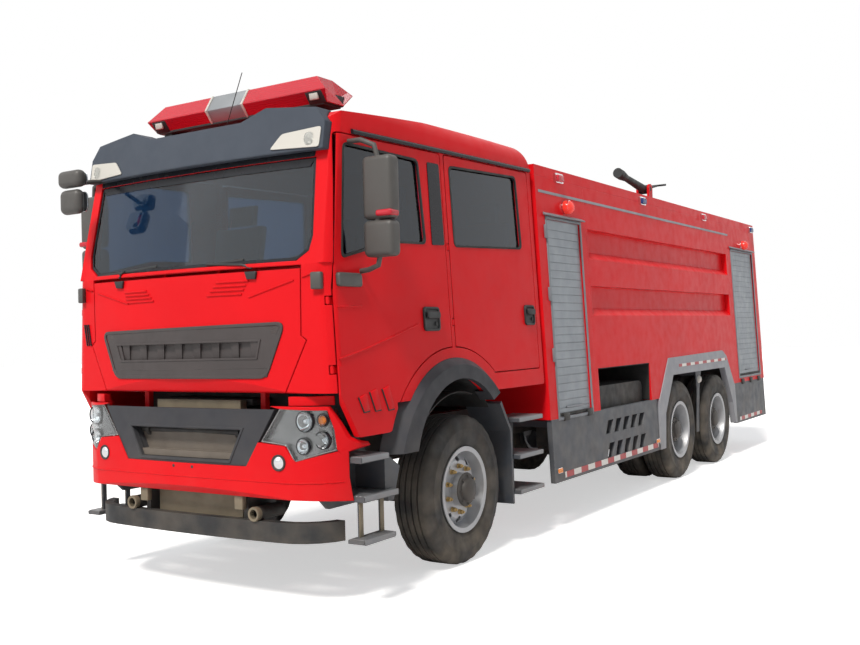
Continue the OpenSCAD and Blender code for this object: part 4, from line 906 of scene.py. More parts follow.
@dataclass
class Stage:
    """Floor, light and camera.

    Attributes:
        eye: Camera place from the front axle.
        yaw: Camera heading in degrees, left of the truck's length.
        pitch: Camera tilt above the horizon in degrees.
        roll: Camera roll in degrees.
        lens: Focal length in millimetres on a sensor of the next width.
        sensor: Width of the sensor in millimetres.
        floor_size: Length of the floor's sides.
        sun_aim: Direction of the sun's light.
        sun_energy: Strength of the sun.
        sun_spread: Angle of the sun's disc in degrees.
        panels: Name, place, aim, size and watts of each soft panel.
    """

    eye: Point = (4.8997, -6.2507, 1.6864)
    yaw: float = -32.69
    pitch: float = 0.609
    roll: float = 1.537
    lens: float = 41.72
    sensor: float = 36.0
    floor_size: float = 120.0
    sun_aim: Point = (-0.1, 0.62, -0.78)
    sun_energy: float = 3.6
    sun_spread: float = 12.0
    panels: tuple = (
        ("side_panel", (8.0, 0.5, 11.0), (1.2, 0.5, 1.8), 9.0, 80.0),
        ("front_panel", (-5.0, -13.0, 6.0), (0.0, -4.0, 1.4), 7.0, 120.0),
    )

    def build(self) -> None:
        """Set the stage."""
        self.camera()
        self.world()
        self.floor()
        self.lamps()
        bpy.context.scene.view_settings.view_transform = "Standard"
        log.info("stage: camera, world, floor and lamps")

    def camera(self) -> None:
        """Place the camera."""
        yaw, pitch, roll = (math.radians(angle) for angle in (self.yaw, self.pitch, self.roll))
        ahead = Vector((math.sin(yaw) * math.cos(pitch), math.cos(yaw) * math.cos(pitch), math.sin(pitch)))
        right = ahead.cross(Vector((0, 0, 1))).normalized()
        down = ahead.cross(right)
        across = math.cos(roll) * right + math.sin(roll) * down
        below = -math.sin(roll) * right + math.cos(roll) * down
        turn = Matrix((across, -below, -ahead)).transposed().to_4x4()
        data = bpy.data.cameras.new("camera")
        data.lens = self.lens
        data.sensor_width = self.sensor
        data.clip_end = 300
        camera = bpy.data.objects.new("camera", data)
        bpy.context.collection.objects.link(camera)
        camera.matrix_world = Matrix.Translation(Vector(self.eye) + Vector((0, AXLE_Y, 0))) @ turn
        bpy.context.scene.camera = camera

    @staticmethod
    def world() -> None:
        """White background to the eye and in reflections, soft sky light on the surfaces."""
        world = bpy.data.worlds.new("studio")
        bpy.context.scene.world = world
        world.use_nodes = True
        nodes, links = world.node_tree.nodes, world.node_tree.links
        nodes.clear()
        path = nodes.new("ShaderNodeLightPath")
        shown = path.outputs["Is Camera Ray"]
        for kind in ("Is Transmission Ray", "Is Glossy Ray"):
            either = nodes.new("ShaderNodeMath")
            either.operation = "MAXIMUM"
            links.new(shown, either.inputs[0])
            links.new(path.outputs[kind], either.inputs[1])
            shown = either.outputs[0]
        sky = nodes.new("ShaderNodeBackground")
        sky.inputs["Color"].default_value = (0.86, 0.93, 1.0, 1.0)
        sky.inputs["Strength"].default_value = 0.22
        white = nodes.new("ShaderNodeBackground")
        white.inputs["Color"].default_value = (1, 1, 1, 1)
        mix = nodes.new("ShaderNodeMixShader")
        links.new(shown, mix.inputs[0])
        links.new(sky.outputs[0], mix.inputs[1])
        links.new(white.outputs[0], mix.inputs[2])
        out = nodes.new("ShaderNodeOutputWorld")
        links.new(mix.outputs[0], out.inputs["Surface"])

    def floor(self) -> None:
        """Pale floor that keeps the truck's shadow."""
        Bench.clear()
        bpy.ops.mesh.primitive_plane_add(size=self.floor_size)
        floor = bpy.context.object
        floor.name = "floor"
        board = Board("floor")
        board.feed(board.shader.inputs["Base Color"],
                   board.blend(board.noise(0.6), (0.83, 0.83, 0.84, 1), (0.87, 0.87, 0.87, 1)))
        board.shader.inputs["Roughness"].default_value = 0.9
        board.shader.inputs["Emission Color"].default_value = (1, 1, 1, 1)
        lit = board.maths("MULTIPLY", board.add("ShaderNodeLightPath").outputs["Is Camera Ray"], 0.55)
        board.feed(board.shader.inputs["Emission Strength"], lit)
        floor.data.materials.append(board.material)

    def lamps(self) -> None:
        """A broad sun on the front, and soft panels over the side and before the front."""
        sun = bpy.data.lights.new("sun", "SUN")
        sun.energy = self.sun_energy
        sun.angle = math.radians(self.sun_spread)
        sun.color = (1.0, 0.96, 0.9)
        lamp = bpy.data.objects.new("sun", sun)
        lamp.rotation_euler = Vector(self.sun_aim).to_track_quat("-Z", "Y").to_euler()
        bpy.context.collection.objects.link(lamp)
        for name, place, aim, size, watts in self.panels:
            data = bpy.data.lights.new(name, "AREA")
            data.size = size
            data.energy = watts
            panel = bpy.data.objects.new(name, data)
            panel.location = place
            panel.rotation_euler = (Vector(aim) - Vector(place)).to_track_quat("-Z", "Y").to_euler()
            bpy.context.collection.objects.link(panel)


@dataclass
class NodeFinishes:
    """Finishes of the CAD nodes that stay as they are.

    Attributes:
        table: Finish by node name.
    """

    table: dict[str, Finish] = field(default_factory=lambda: {
        **dict.fromkeys(("front_bumper", "front_locker", "tank", "pump_room", "roof_deck", "cab_shell", "front_lid",
                         "door_front_left", "door_front_right", "door_rear_left", "door_rear_right",
                         "monitor_base"), RED_PAINT),
        **dict.fromkeys(("lower_grille", "entry_steps", "crew_steps", "side_skirts",
                         "front_mudguards"), DARK_GREY),
        "wheel_flares": FLARE_GREY,
        **dict.fromkeys(("frame_rails", "front_axle", "rear_axles", "leaf_springs", "powertrain", "side_tanks",
                         "knuckle_left", "knuckle_right", "track_rod"), CHASSIS_BLACK),
        **dict.fromkeys(("rim_front_left", "rim_front_right", "rims_mid_left", "rims_mid_right", "rims_rear_left",
                         "rims_rear_right"), WHEEL_SILVER),
        **dict.fromkeys(("tyre_front_left", "tyre_front_right", "tyres_mid_left", "tyres_mid_right",
                         "tyres_rear_left", "tyres_rear_right"), TYRE),
        **dict.fromkeys(("glass_front_left", "glass_front_right", "glass_rear_left", "glass_rear_right"), DOOR_GLASS),
        **dict.fromkeys(("mirror_left", "mirror_right"), MIRROR_GREY),
        "arch_trims": LIGHT_GREY, "shutters": SHUTTER, "rear_access": SILVER, "body_lamps": CHROME,
        "windscreen": SCREEN_GLASS, "visor": VISOR_GREY, "light_bar": RED_LENS, "cab_interior": INSIDE,
        "upper_grille": GRILLE, "front_underrun": BLACK_PLASTIC, "cooler": COOLER, "headlamps": CLEAR_LENS,
        "monitor_barrel": BLACK_PLASTIC, "tank_hatch": LIGHT_GREY,
    })

    def dress(self) -> None:
        """Give every CAD node its finish."""
        for name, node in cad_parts.items():
            node.data.materials.clear()
            node.data.materials.append(self.table[name].material())
        log.info("finishes on %d CAD nodes", len(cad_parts))


BELT_Z = 2.13
SCREEN_SLOPE = math.tan(math.radians(10.7))
BUMPER_FRONT = -1.652
BUMPER_HALF = 1.2
BUMPER_CORNER = 0.41


def front_y(x: float, z: float) -> float:
    """Place of the cab's bowed front, upright below the belt and leaning above it."""
    bow = x * x / (2 * BOW_RADIUS)
    return bow - 1.606 if z < BELT_Z else bow - 1.582 + SCREEN_SLOPE * (z - BELT_Z)


def bumper_y(x: float, inset: float = 0.0) -> float:
    """Place of the bumper's bowed face with its round corners, or of a surface inside it.

    Args:
        x: Place across.
        inset: Depth of the surface behind the face.

    Returns:
        The place along Y.
    """
    flat = BUMPER_HALF - BUMPER_CORNER
    if abs(x) < flat:
        return BUMPER_FRONT + x * x / (2 * BOW_RADIUS) + inset
    middle = BUMPER_FRONT + flat * flat / (2 * BOW_RADIUS) + BUMPER_CORNER
    return middle - math.sqrt(max(0.0, (BUMPER_CORNER - inset) ** 2 - (abs(x) - flat) ** 2))


def on_cab(spot: Vector) -> Vector:
    """Spot whose X counts from the cab's left side."""
    return spot + Vector((cab_x(spot.z), 0, 0))


def on_body(spot: Vector) -> Vector:
    """Spot whose X counts from the body's left side."""
    return spot + Vector((body_x(spot.z), 0, 0))


def on_front(spot: Vector) -> Vector:
    """Spot whose Y counts from the cab's front."""
    return spot + Vector((0, front_y(spot.x, spot.z), 0))


def on_bumper(spot: Vector) -> Vector:
    """Spot whose Y counts inwards from the bumper's face."""
    return Vector((spot.x, bumper_y(spot.x, spot.y), spot.z))


def grown(outline: Outline, distance: float) -> Corners:
    """Outline with its sides moved outwards.

    Args:
        outline: Corners in either sense.
        distance: How far the sides move, inwards where it is negative.

    Returns:
        The moved corners.
    """
    count = len(outline)
    area = sum(outline[k - 1][0] * outline[k][1] - outline[k][0] * outline[k - 1][1] for k in range(count))
    reach = distance if area < 0 else -distance
    moved = []
    for k in range(count):
        before, here, after = (Vector(outline[(k + step) % count]) for step in (-1, 0, 1))
        first, second = ((b - a).normalized() for a, b in ((before, here), (here, after)))
        normals = Vector((-first.y - second.y, first.x + second.x))
        moved.append(tuple(here + normals * reach / (1 + first.dot(second))))
    return moved


def rounded(outline: Outline, radius: float, steps: int = 5) -> Corners:
    """Outline with a smooth curve at each corner.

    Args:
        outline: The corners.
        radius: Length that a curve takes from each side.
        steps: Steps of each curve.

    Returns:
        The points of the new outline.
    """
    count = len(outline)
    points = []
    for k in range(count):
        before, here, after = (Vector(outline[(k + step) % count]) for step in (-1, 0, 1))
        start = here + (before - here).normalized() * radius
        end = here + (after - here).normalized() * radius
        for step in range(steps + 1):
            t = step / steps
            points.append(tuple(start.lerp(here, t).lerp(here.lerp(end, t), t)))
    return points


def quad(low: Span, high: Span) -> Corners:
    """Corners of an upright rectangle between two corners."""
    return [low, (high[0], low[1]), high, (low[0], high[1])]


def pair(piece: Piece, name: str, finish: Finish, body: str, replaces: str = "") -> None:
    """Dress a left piece and its mirror image on the bodies of both sides.

    Args:
        piece: The left piece, in axle-based places.
        name: Its name without the side.
        finish: Its finish.
        body: The CAD body without the side.
        replaces: The CAD node without the side that it stands for, if any.
    """
    halves = {"left": piece, "right": Bench.other_side(piece)}
    for side, half in halves.items():
        dress(half, f"{name}_{side}", finish, f"{body}_{side}", (f"{replaces}_{side}",) if replaces else ())


def twofold(pieces: Sequence[Piece], name: str, finish: Finish, body: str,
            rule: Rule | None = None, replaces: Sequence[str] = ()) -> None:
    """Join left pieces, lay them by a rule, add their mirror image and dress them as one piece.

    Args:
        pieces: The left pieces, in axle-based places.
        name: The finished piece's name.
        finish: Its finish.
        body: The CAD body that it rides on.
        rule: Where each corner goes, if the pieces lie on a leaning or bowed side.
        replaces: CAD nodes that it stands for.
    """
    piece = Bench.join(pieces)
    if rule:
        Bench.reshape(piece, rule)
    dress(Bench.both_sides(piece), name, finish, body, replaces)


@dataclass
class Wheels:
    """Tyres with ribs and tread, wheel nuts and hub caps.

    Attributes:
        wall: Half of the tyre's section as radius and place across, from the bead to the middle of the tread.
        steps: Steps of a tyre's turn.
        nut_count: Nuts of a wheel.
        nut_ring: Radius of the ring of nuts.
        nut: Section of a nut with its stud, as radius and place along it.
        groove: Depth of the shoulders' notches.
        rows: Body, tyre node, Y of the axle, X of the tyres, X of the nuts, X and radius of the hub's end.
    """

    wall: Outline = (
        (0.29, 0.112), (0.303, 0.122), (0.318, 0.129), (0.345, 0.139), (0.352, 0.1425), (0.36, 0.1415),
        (0.395, 0.148), (0.43, 0.149), (0.436, 0.1515), (0.446, 0.1515), (0.452, 0.148), (0.478, 0.145),
        (0.505, 0.138), (0.52, 0.131), (0.533, 0.121), (0.539, 0.108), (0.5405, 0.082), (0.526, 0.0805),
        (0.526, 0.0695), (0.541, 0.068), (0.541, 0.032), (0.527, 0.0305), (0.527, 0.0195), (0.541, 0.018),
    )
    steps: int = 120
    nut_count: int = 10
    nut_ring: float = 0.1675
    nut: Outline = ((0, 0), (0.02, 0), (0.02, 0.006), (0.0165, 0.008), (0.0165, 0.03), (0.011, 0.033), (0.009, 0.044),
                    (0, 0.045))
    groove: float = 0.004
    rows: tuple = (
        ("wheel_front", "tyre_front", 0.0, (1.015,), 1.099, 1.155, 0.12),
        ("wheels_mid", "tyres_mid", 4.6, (1.075, 0.73), 0.994, 1.145, 0.135),
        ("wheels_rear", "tyres_rear", 6.0, (1.075, 0.73), 0.994, 1.145, 0.135),
    )

    def build(self) -> None:
        """Model every wheel's tyres, nuts and cap."""
        for body, node, y, places, nut_x, hub_x, hub_r in self.rows:
            pair(Bench.join([self.tyre(x, y) for x in places]), f"{node}_rubber", TYRE, body, node)
            pair(self.nuts(nut_x, y), f"{body}_nuts", BRASS_NUT, body)
            pair(self.cap(hub_x, y, hub_r), f"{body}_cap", HUB, body)

    def tyre(self, x: float, y: float) -> Piece:
        """Tyre at a place, with notches cut in its shoulders.

        Args:
            x: X of its middle.
            y: Y of the axle.

        Returns:
            The new piece.
        """
        profile = [*self.wall, *((radius, -across) for radius, across in reversed(self.wall))]
        tyre = Bench.spin(profile, (0, 0, 0), Axis.X, self.steps)

        def notch(spot: Vector) -> Vector:
            """Draw in a corner of the shoulder where a notch is.

            Args:
                spot: A corner of the piece.

            Returns:
                Where it goes.
            """
            radius = math.hypot(spot.y, spot.z)
            step = round(math.atan2(spot.z, spot.y) / math.tau * self.steps)
            deep = 0.508 < radius < 0.5398 and abs(spot.x) > 0.1 and step % 4 < 2
            share = 1 - self.groove / radius
            return Vector((spot.x, spot.y * share, spot.z * share)) if deep else spot

        Bench.reshape(tyre, notch)
        tyre.data.transform(Matrix.Translation((x, y, AXLE_Z)))
        return tyre

    def nuts(self, x: float, y: float) -> Piece:
        """Ring of six-sided nuts with their studs.

        Args:
            x: X of its middle.
            y: Y of the axle.

        Returns:
            The new piece.
        """
        nut = Bench.spin(self.nut, (x, y, AXLE_Z + self.nut_ring), Axis.X, 6)
        return Bench.ring(nut, self.nut_count, (x, y, AXLE_Z), Axis.X)

    @staticmethod
    def cap(x: float, y: float, radius: float) -> Piece:
        """Hub cap with its ring of small bolts.

        Args:
            x: X of its middle.
            y: Y of the axle.
            radius: Radius of the hub's end.

        Returns:
            The new piece.
        """
        profile = ((0, 0), (radius, 0), (radius + 0.004, 0.008), (radius - 0.006, 0.02), (radius * 0.74, 0.024),
                   (radius * 0.68, 0.046), (radius * 0.55, 0.056), (0, 0.058))
        bolt = Bench.spin(((0, 0.016), (0.009, 0.016), (0.009, 0.03), (0, 0.031)), (x, y, AXLE_Z + radius * 0.86),
                          Axis.X, 6)
        return Bench.join([Bench.spin(profile, (x, y, AXLE_Z), Axis.X, 40),
                           Bench.ring(bolt, 8, (x, y, AXLE_Z), Axis.X)])


@dataclass
class LightBar:
    """Light bar on the cab's roof: red lenses, speaker, tray, lamps and feet.

    Attributes:
        section: Outline in Y and Z.
        half: Half length at the widest level.
        middle: X of the bar's middle.
        level: Height of the widest level.
        speaker: X of the speaker's ends.
        reflectors: X of the reflectors inside the lenses.
        end_lamps: X of the white lamps.
    """

    section: Outline = ((-1.11, 3.222), (-1.169, 3.297), (-1.1, 3.408), (-0.938, 3.408), (-0.869, 3.297),
                        (-0.928, 3.222))
    half: float = 0.84
    middle: float = 0.04
    level: float = 3.297
    speaker: Span = (-0.195, 0.145)
    reflectors: tuple[float, ...] = (-0.62, -0.36, 0.33, 0.55, 0.74)
    end_lamps: tuple[float, ...] = (-0.69, 0.77)

    def build(self) -> None:
        """Model the bar's pieces."""
        low, high = self.speaker
        lenses = [self.lens(high, self.middle + self.half), self.lens(self.middle - self.half, low)]
        dress(Bench.join(lenses), "light_bar_lenses", RED_LENS, "cab", ("light_bar",))
        speaker = Bench.prism(grown(self.section, 0.002), Axis.X, low + 0.012, high - 0.012, 0.004)
        dress(speaker, "light_bar_speaker", SPEAKER, "cab")
        edges = [Bench.prism(grown(self.section, 0.006), Axis.X, x - 0.009, x + 0.009, 0.003) for x in self.speaker]
        dress(Bench.join(edges), "light_bar_edges", WHITE_PANEL, "cab")
        self.tray()
        self.lamps()

    def lens(self, start: float, end: float) -> Piece:
        """Hollow lens whose outer end is cut to a point at the widest level.

        Args:
            start: X of its low end.
            end: X of its high end.

        Returns:
            The new piece.
        """
        lens = Bench.prism(self.section, Axis.X, start, end)
        outer = end if end > self.middle + 0.5 else start

        def point(spot: Vector) -> Vector:
            """Cut a corner of the outer end back from the widest level.

            Args:
                spot: A corner of the piece.

            Returns:
                Where it goes.
            """
            if abs(spot.x - outer) > 0.001:
                return spot
            cut = 1.1 * max(0.0, spot.z - self.level) + 0.5 * max(0.0, self.level - spot.z)
            return spot - Vector((math.copysign(cut, spot.x), 0, 0))

        Bench.reshape(lens, point)
        Bench.apply(lens, "SOLIDIFY", thickness=0.005, offset=-1.0)
        return Bench.soften(lens, 0.004)

    def tray(self) -> None:
        """Dark tray under the lenses with end caps and feet on the roof."""
        pieces = [Bench.box((-0.74, -1.112, 3.208), (0.82, -0.926, 3.232), 0.006),
                  Bench.box((-0.7, -1.1, 3.232), (0.78, -0.94, 3.285), 0.006)]
        foot = ((-1.12, 3.1), (-0.92, 3.1), (-0.95, 3.225), (-1.09, 3.225))
        cap = ((-1.114, 3.216), (-1.17, 3.29), (-0.868, 3.29), (-0.924, 3.216))
        # Columns: outline, X that both ends count from, near and far end, bevel
        ends = ((foot, 0.0, 0.62, 0.7, 0.006), (cap, self.middle, 0.66, 0.8, 0.008))
        for side in (-1, 1):
            for outline, middle, near, far, bevel in ends:
                low, high = sorted((middle + side * near, middle + side * far))
                pieces.append(Bench.prism(outline, Axis.X, low, high, bevel))
        dress(Bench.join(pieces), "light_bar_tray", BLACK_PLASTIC, "cab")

    def lamps(self) -> None:
        """Rotating reflectors inside the lenses and white lamps at the ends."""
        bowl = Bench.spin(((0, 0.0), (0.05, 0.012), (0.07, 0.05), (0.074, 0.05), (0.054, 0.008), (0, -0.006)),
                          (0, -1.02, 3.285), Axis.Z, 24)
        bowls = Bench.copies(bowl, [(x, 0, 0) for x in self.reflectors])
        dress(bowls, "light_bar_reflectors", CHROME, "cab")
        white = Bench.prism(((-1.166, 3.238), (-1.176, 3.279), (-1.16, 3.279), (-1.15, 3.238)),
                            Axis.X, -0.035, 0.035, 0.003)
        ends = Bench.copies(white, [(x, 0.012, 0) for x in self.end_lamps])
        dress(ends, "light_bar_end_lamps", WHITE_PANEL, "cab")


@dataclass
class Screen:
    """Windscreen trim: dark border, wipers, visor lamps, corner mirror and antenna.

    Attributes:
        wipers: X of each wiper's cap and of both ends of its blade.
        strips: CAD node that a strip of the border lies on, and its corners on the left half in X and Z.
    """

    wipers: tuple = ((0.585, -0.1, 0.505), (-0.645, -0.93, -0.28))
    strips: tuple = (
        ("windscreen", ((0.0, 2.742), (0.95, 2.742), (0.992, 2.794), (0.0, 2.794))),
        ("windscreen", ((0.0, 2.156), (0.915, 2.156), (0.92, 2.174), (0.0, 2.174))),
        ("windscreen",
         ((0.918, 2.158), (1.004, 2.214), (1.024, 2.3), (0.994, 2.792), (0.977, 2.786), (1.007, 2.304), (0.99, 2.226),
          (0.915, 2.174))),
        ("cab_shell", ((0.0, 2.8015), (0.99, 2.8015), (1.0, 2.86), (0.0, 2.875))),
    )

    def build(self) -> None:
        """Model the trim of the windscreen and the visor."""
        self.border()
        self.wiper_arms()
        self.visor_lamps()
        self.corner_mirror()
        rod = [Bench.pipe(((0.006, -1.2, 3.1), (0.186, -1.2, 3.502)), 0.003, 2),
               Bench.spin(((0, 0), (0.022, 0), (0.018, 0.03), (0.006, 0.06), (0, 0.062)), (0.006, -1.2, 3.09),
                          Axis.Z, 16)]
        dress(Bench.join(rod), "antenna", RUBBER, "cab")

    def border(self) -> None:
        """Dark printed border of the glass, broad at the top."""
        pieces = [Bench.drape(Bench.refine(Bench.sheet(corners, Axis.Y, -1.8), 5), node, Axis.Y, 0.003, 0.003)
                  for node, corners in self.strips]
        twofold(pieces, "screen_border", GLOSS_BLACK, "cab")

    def wiper_arms(self) -> None:
        """Caps on the lid's top edge, arms and blades along the glass."""
        caps = [Bench.prism(((x - 0.048, 2.103), (x + 0.048, 2.103), (x + 0.036, 2.052), (x - 0.03, 2.056)),
                            Axis.Y, -0.014, 0.002, 0.004)
                 for x, _, _ in self.wipers]
        arms = []
        for x, low, high in self.wipers:
            middle = (low + high) / 2
            elbow = (x + 0.2 * (middle - x), -0.03, 2.15)
            arms.append(Bench.pipe(((x, 0.004, 2.124), elbow, (middle, -0.022, 2.17)), 0.008, 2))
            arms.append(Bench.box((low, -0.016, 2.15), (high, 0.004, 2.168), 0.004))
            Bench.reshape(arms[-1], lambda spot, low=low: spot + Vector((0, 0, 0.06 * (spot.x - low) - 0.012)))
        for arm in arms:
            Bench.refine(arm, 2)
        for name, body, pieces in (("wiper_caps", "lid", caps), ("wipers", "cab", arms)):
            dress(Bench.join([Bench.reshape(piece, on_front) for piece in pieces]),
                  name, BLACK_PLASTIC, body)

    @staticmethod
    def visor_lamps() -> None:
        """White lamp panels at both ends of the visor, with a small lamp in each."""
        panel = Bench.sheet(rounded(((0.69, 2.865), (1.06, 2.848), (1.066, 2.978), (0.775, 2.958)), 0.02, 3),
                            Axis.Y, -1.75)
        panel = Bench.drape(Bench.refine(panel, 4), "visor", Axis.Y, 0.006, 0.006)
        twofold([panel], "visor_lamps", WHITE_PANEL, "cab")
        bulb = Bench.sheet(rounded_box(0.955, 1.015, 2.872, 2.945, 0.024), Axis.Y, -1.75)
        bulb = Bench.drape(Bench.refine(bulb, 2), "visor", Axis.Y, 0.012, 0.012)
        twofold([bulb], "visor_bulbs", CLEAR_LENS, "cab")

    @staticmethod
    def corner_mirror() -> None:
        """Mirror that looks down on the front corner, on an arm from the visor's end."""
        shell = [Bench.box((-1.04, -1.79, 2.766), (-0.81, -1.7, 2.885), 0.04, 5),
                 Bench.box((-1.03, -1.785, 2.58), (-0.83, -1.7, 2.752), 0.045, 5),
                 Bench.pipe(((-0.92, -1.7, 2.8), (-0.94, -1.56, 2.83), (-0.96, -1.4, 2.85)), 0.016)]
        dress(Bench.join(shell), "corner_mirror", MIRROR_GREY, "cab")
        glass = [Bench.prism(rounded_box(-1.025, -0.825, z0, z1, 0.035), Axis.Y, -1.698, -1.69, 0.002)
                 for z0, z1 in ((2.782, 2.872), (2.598, 2.738))]
        dress(Bench.join(glass), "corner_mirror_glass", MIRROR_GLASS, "cab")


@dataclass
class BumperTrim:
    """Headlamps with their red surrounds, fog lamps, the panel in the grille slot and the tow rings.

    Attributes:
        lamp: Headlamp in X and Z, on the left.
        bowls: X, Z and radius of each lamp bowl.
        cheek: Red surround of a headlamp in X and Z, on the left.
        mouth: Slot of the lower grille in X and Z.
        rim: Outer edge of the lower grille.
    """

    lamp: Outline = ((0.666, 1.044), (0.852, 1.024), (0.905, 0.926), (1.121, 0.992), (1.113, 1.112), (1.086, 1.232),
                     (0.812, 1.246))
    bowls: tuple = ((0.961, 1.168, 0.06), (0.95, 1.016, 0.046), (1.048, 1.05, 0.05), (1.05, 1.172, 0.034))
    cheek: Outline = ((1.121, 0.992), (1.135, 0.96), (1.198, 1.0), (1.156, 1.06), (1.146, 1.1), (1.132, 1.15),
                      (1.114, 1.2), (1.089, 1.256), (0.8, 1.262), (0.74, 1.262), (0.812, 1.246), (1.086, 1.232),
                      (1.113, 1.112))
    mouth: Outline = ((-0.5, 1.108), (-0.4, 0.916), (0.4, 0.916), (0.5, 1.108))
    rim: Outline = ((-0.77, 1.24), (-0.545, 0.884), (0.545, 0.884), (0.77, 1.24))

    def build(self) -> None:
        """Model the front end's pieces."""
        self.headlamps()
        self.surround()
        self.slot_panel()
        self.small_lamps()
        self.tow_rings()

    def headlamps(self) -> None:
        """Clear lens over a silver housing with four bowls."""
        lens = Bench.refine(Bench.prism(rounded(grown(self.lamp, -0.004), 0.012, 3), Axis.Y, 0.004, 0.009), 5)
        lens = Bench.soften(Bench.reshape(lens, on_bumper), 0.0)
        twofold([lens], "headlamp_lenses", CLEAR_LENS, "chassis", replaces=("headlamps",))
        back = Bench.refine(Bench.prism(grown(self.lamp, 0.004), Axis.Y, 0.048, 0.056), 5)
        wall = Bench.refine(Bench.band(grown(self.lamp, 0.004), grown(self.lamp, -0.004), Axis.Y, 0.012, 0.052), 3)
        housing = Bench.join([Bench.reshape(piece, on_bumper) for piece in (back, wall)])
        twofold([housing], "headlamp_housings", LAMP_SILVER, "chassis")
        bowls, rims = [], []
        for x, z, radius in self.bowls:
            middle = (x, bumper_y(x, 0.03), z)
            bowls.append(self.bowl(radius, middle))
            rim = ((radius, -0.012), (radius + 0.006, -0.014), (radius + 0.01, 0.004), (radius + 0.002, 0.02))
            rims.append(Bench.spin(rim, middle, Axis.Y, 32))
        twofold(bowls, "headlamp_bowls", CHROME, "chassis")
        twofold(rims, "headlamp_rims", GLOSS_BLACK, "chassis")
        amber = Bench.spin(((0, -0.006), (0.022, 0.0), (0.026, 0.014), (0, 0.016)),
                           (1.05, bumper_y(1.05, 0.018), 1.172), Axis.Y, 24)
        twofold([amber], "headlamp_ambers", AMBER_LENS, "chassis")

    @staticmethod
    def bowl(radius: float, middle: Point) -> Piece:
        """Reflector bowl with a bulb in it.

        Args:
            radius: Radius of its mouth.
            middle: Middle of its mouth.

        Returns:
            The new piece.
        """
        bulb = radius * 0.26
        profile = ((radius, -0.008), (radius * 0.8, 0.008), (radius * 0.45, 0.02), (bulb, 0.022), (bulb, -0.002),
                   (bulb * 0.6, -0.01), (0, -0.012), (0, 0.03), (radius * 0.5, 0.028), (radius * 1.02, 0.0))
        return Bench.spin(profile, middle, Axis.Y, 32)

    def surround(self) -> None:
        """Red frame between the lamp and the bumper's edge, with the panel over the lamp."""
        piece = Bench.refine(Bench.prism(self.cheek, Axis.Y, 0.002, 0.02), 5)
        Bench.reshape(piece, on_bumper)
        twofold([Bench.soften(piece, 0.0)], "headlamp_surrounds", RED_PAINT, "chassis")

    def slot_panel(self) -> None:
        """Lower grille: a frame round a deep slot with a plain panel and a ledge at its foot."""
        slot = self.mouth
        rim = Bench.band(self.rim, slot, Axis.Y, 0.006, 0.046)
        wall = Bench.band(grown(slot, 0.006), slot, Axis.Y, 0.04, 0.096)
        lip = Bench.band(grown(slot, 0.018), grown(slot, 0.004), Axis.Y, 0.001, 0.01)
        border = [Bench.reshape(Bench.refine(piece, 5), on_bumper) for piece in (rim, wall, lip)]
        dress(Bench.soften(Bench.join(border), 0.0), "lower_grille_frame", FLARE_GREY, "chassis",
              ("lower_grille",))
        panel = Bench.prism(grown(slot, 0.004), Axis.Y, 0.088, 0.096)
        ledge = Bench.prism(((-0.425, 0.96), (-0.4, 0.918), (0.4, 0.918), (0.425, 0.96)), Axis.Y, 0.03, 0.09)
        slab = [Bench.reshape(Bench.refine(piece, 5), on_bumper) for piece in (panel, ledge)]
        dress(Bench.join(slab), "grille_slot_panel", SLOT_BROWN, "chassis")
        shroud = [Bench.box((-0.8, -1.235, 1.0), (0.8, -1.215, 1.385), 0.006),
                  Bench.box((-0.42, -1.43, 1.245), (0.42, -1.24, 1.29), 0.01)]
        dress(Bench.join(shroud), "cooler_shroud", CHASSIS_BLACK, "chassis")

    @staticmethod
    def small_lamps() -> None:
        """Round fog lamps, plugs of the plate and the pressed line along the bumper."""
        fog = Bench.spin(((0, -0.01), (0.026, -0.007), (0.04, 0.0), (0.042, 0.012), (0, 0.014)), (0.798, 0, 0.916),
                         Axis.Y, 28)
        twofold([fog], "fog_lamps", CHROME, "chassis", on_bumper)
        edge = ((0.04, -0.004), (0.05, -0.006), (0.053, 0.008), (0.042, 0.014))
        ring = Bench.reshape(Bench.spin(edge, (0.798, 0, 0.916), Axis.Y, 28), on_bumper)
        plug = Bench.spin(((0, -0.004), (0.01, -0.003), (0.012, 0.004), (0, 0.006)),
                          (0.085, bumper_y(0.085, 0.002), 0.862), Axis.Y, 16)
        twofold([ring, plug], "bumper_rings", BLACK_PLASTIC, "chassis")
        steps = 48
        path = [(x, bumper_y(x, 0.001), 0.798 - 0.004 * abs(x))
                for x in (1.145 * (2 * k / steps - 1) for k in range(steps + 1))]
        dress(Bench.pipe(path, 0.005, 2), "bumper_crease", RED_PAINT, "chassis")

    @staticmethod
    def tow_rings() -> None:
        """Pale mouths of the tow tubes and pale brackets under the bumper."""
        ring = Bench.spin(((0.03, -0.008), (0.044, -0.01), (0.047, 0.002), (0.044, 0.03), (0.03, 0.03)),
                          (0.559, -1.59, 0.579), Axis.Y, 32)
        bracket = Bench.box((0.4, -1.6, 0.6), (0.47, -1.56, 0.69), 0.006)
        twofold([ring, bracket], "tow_rings", COOLER, "chassis")


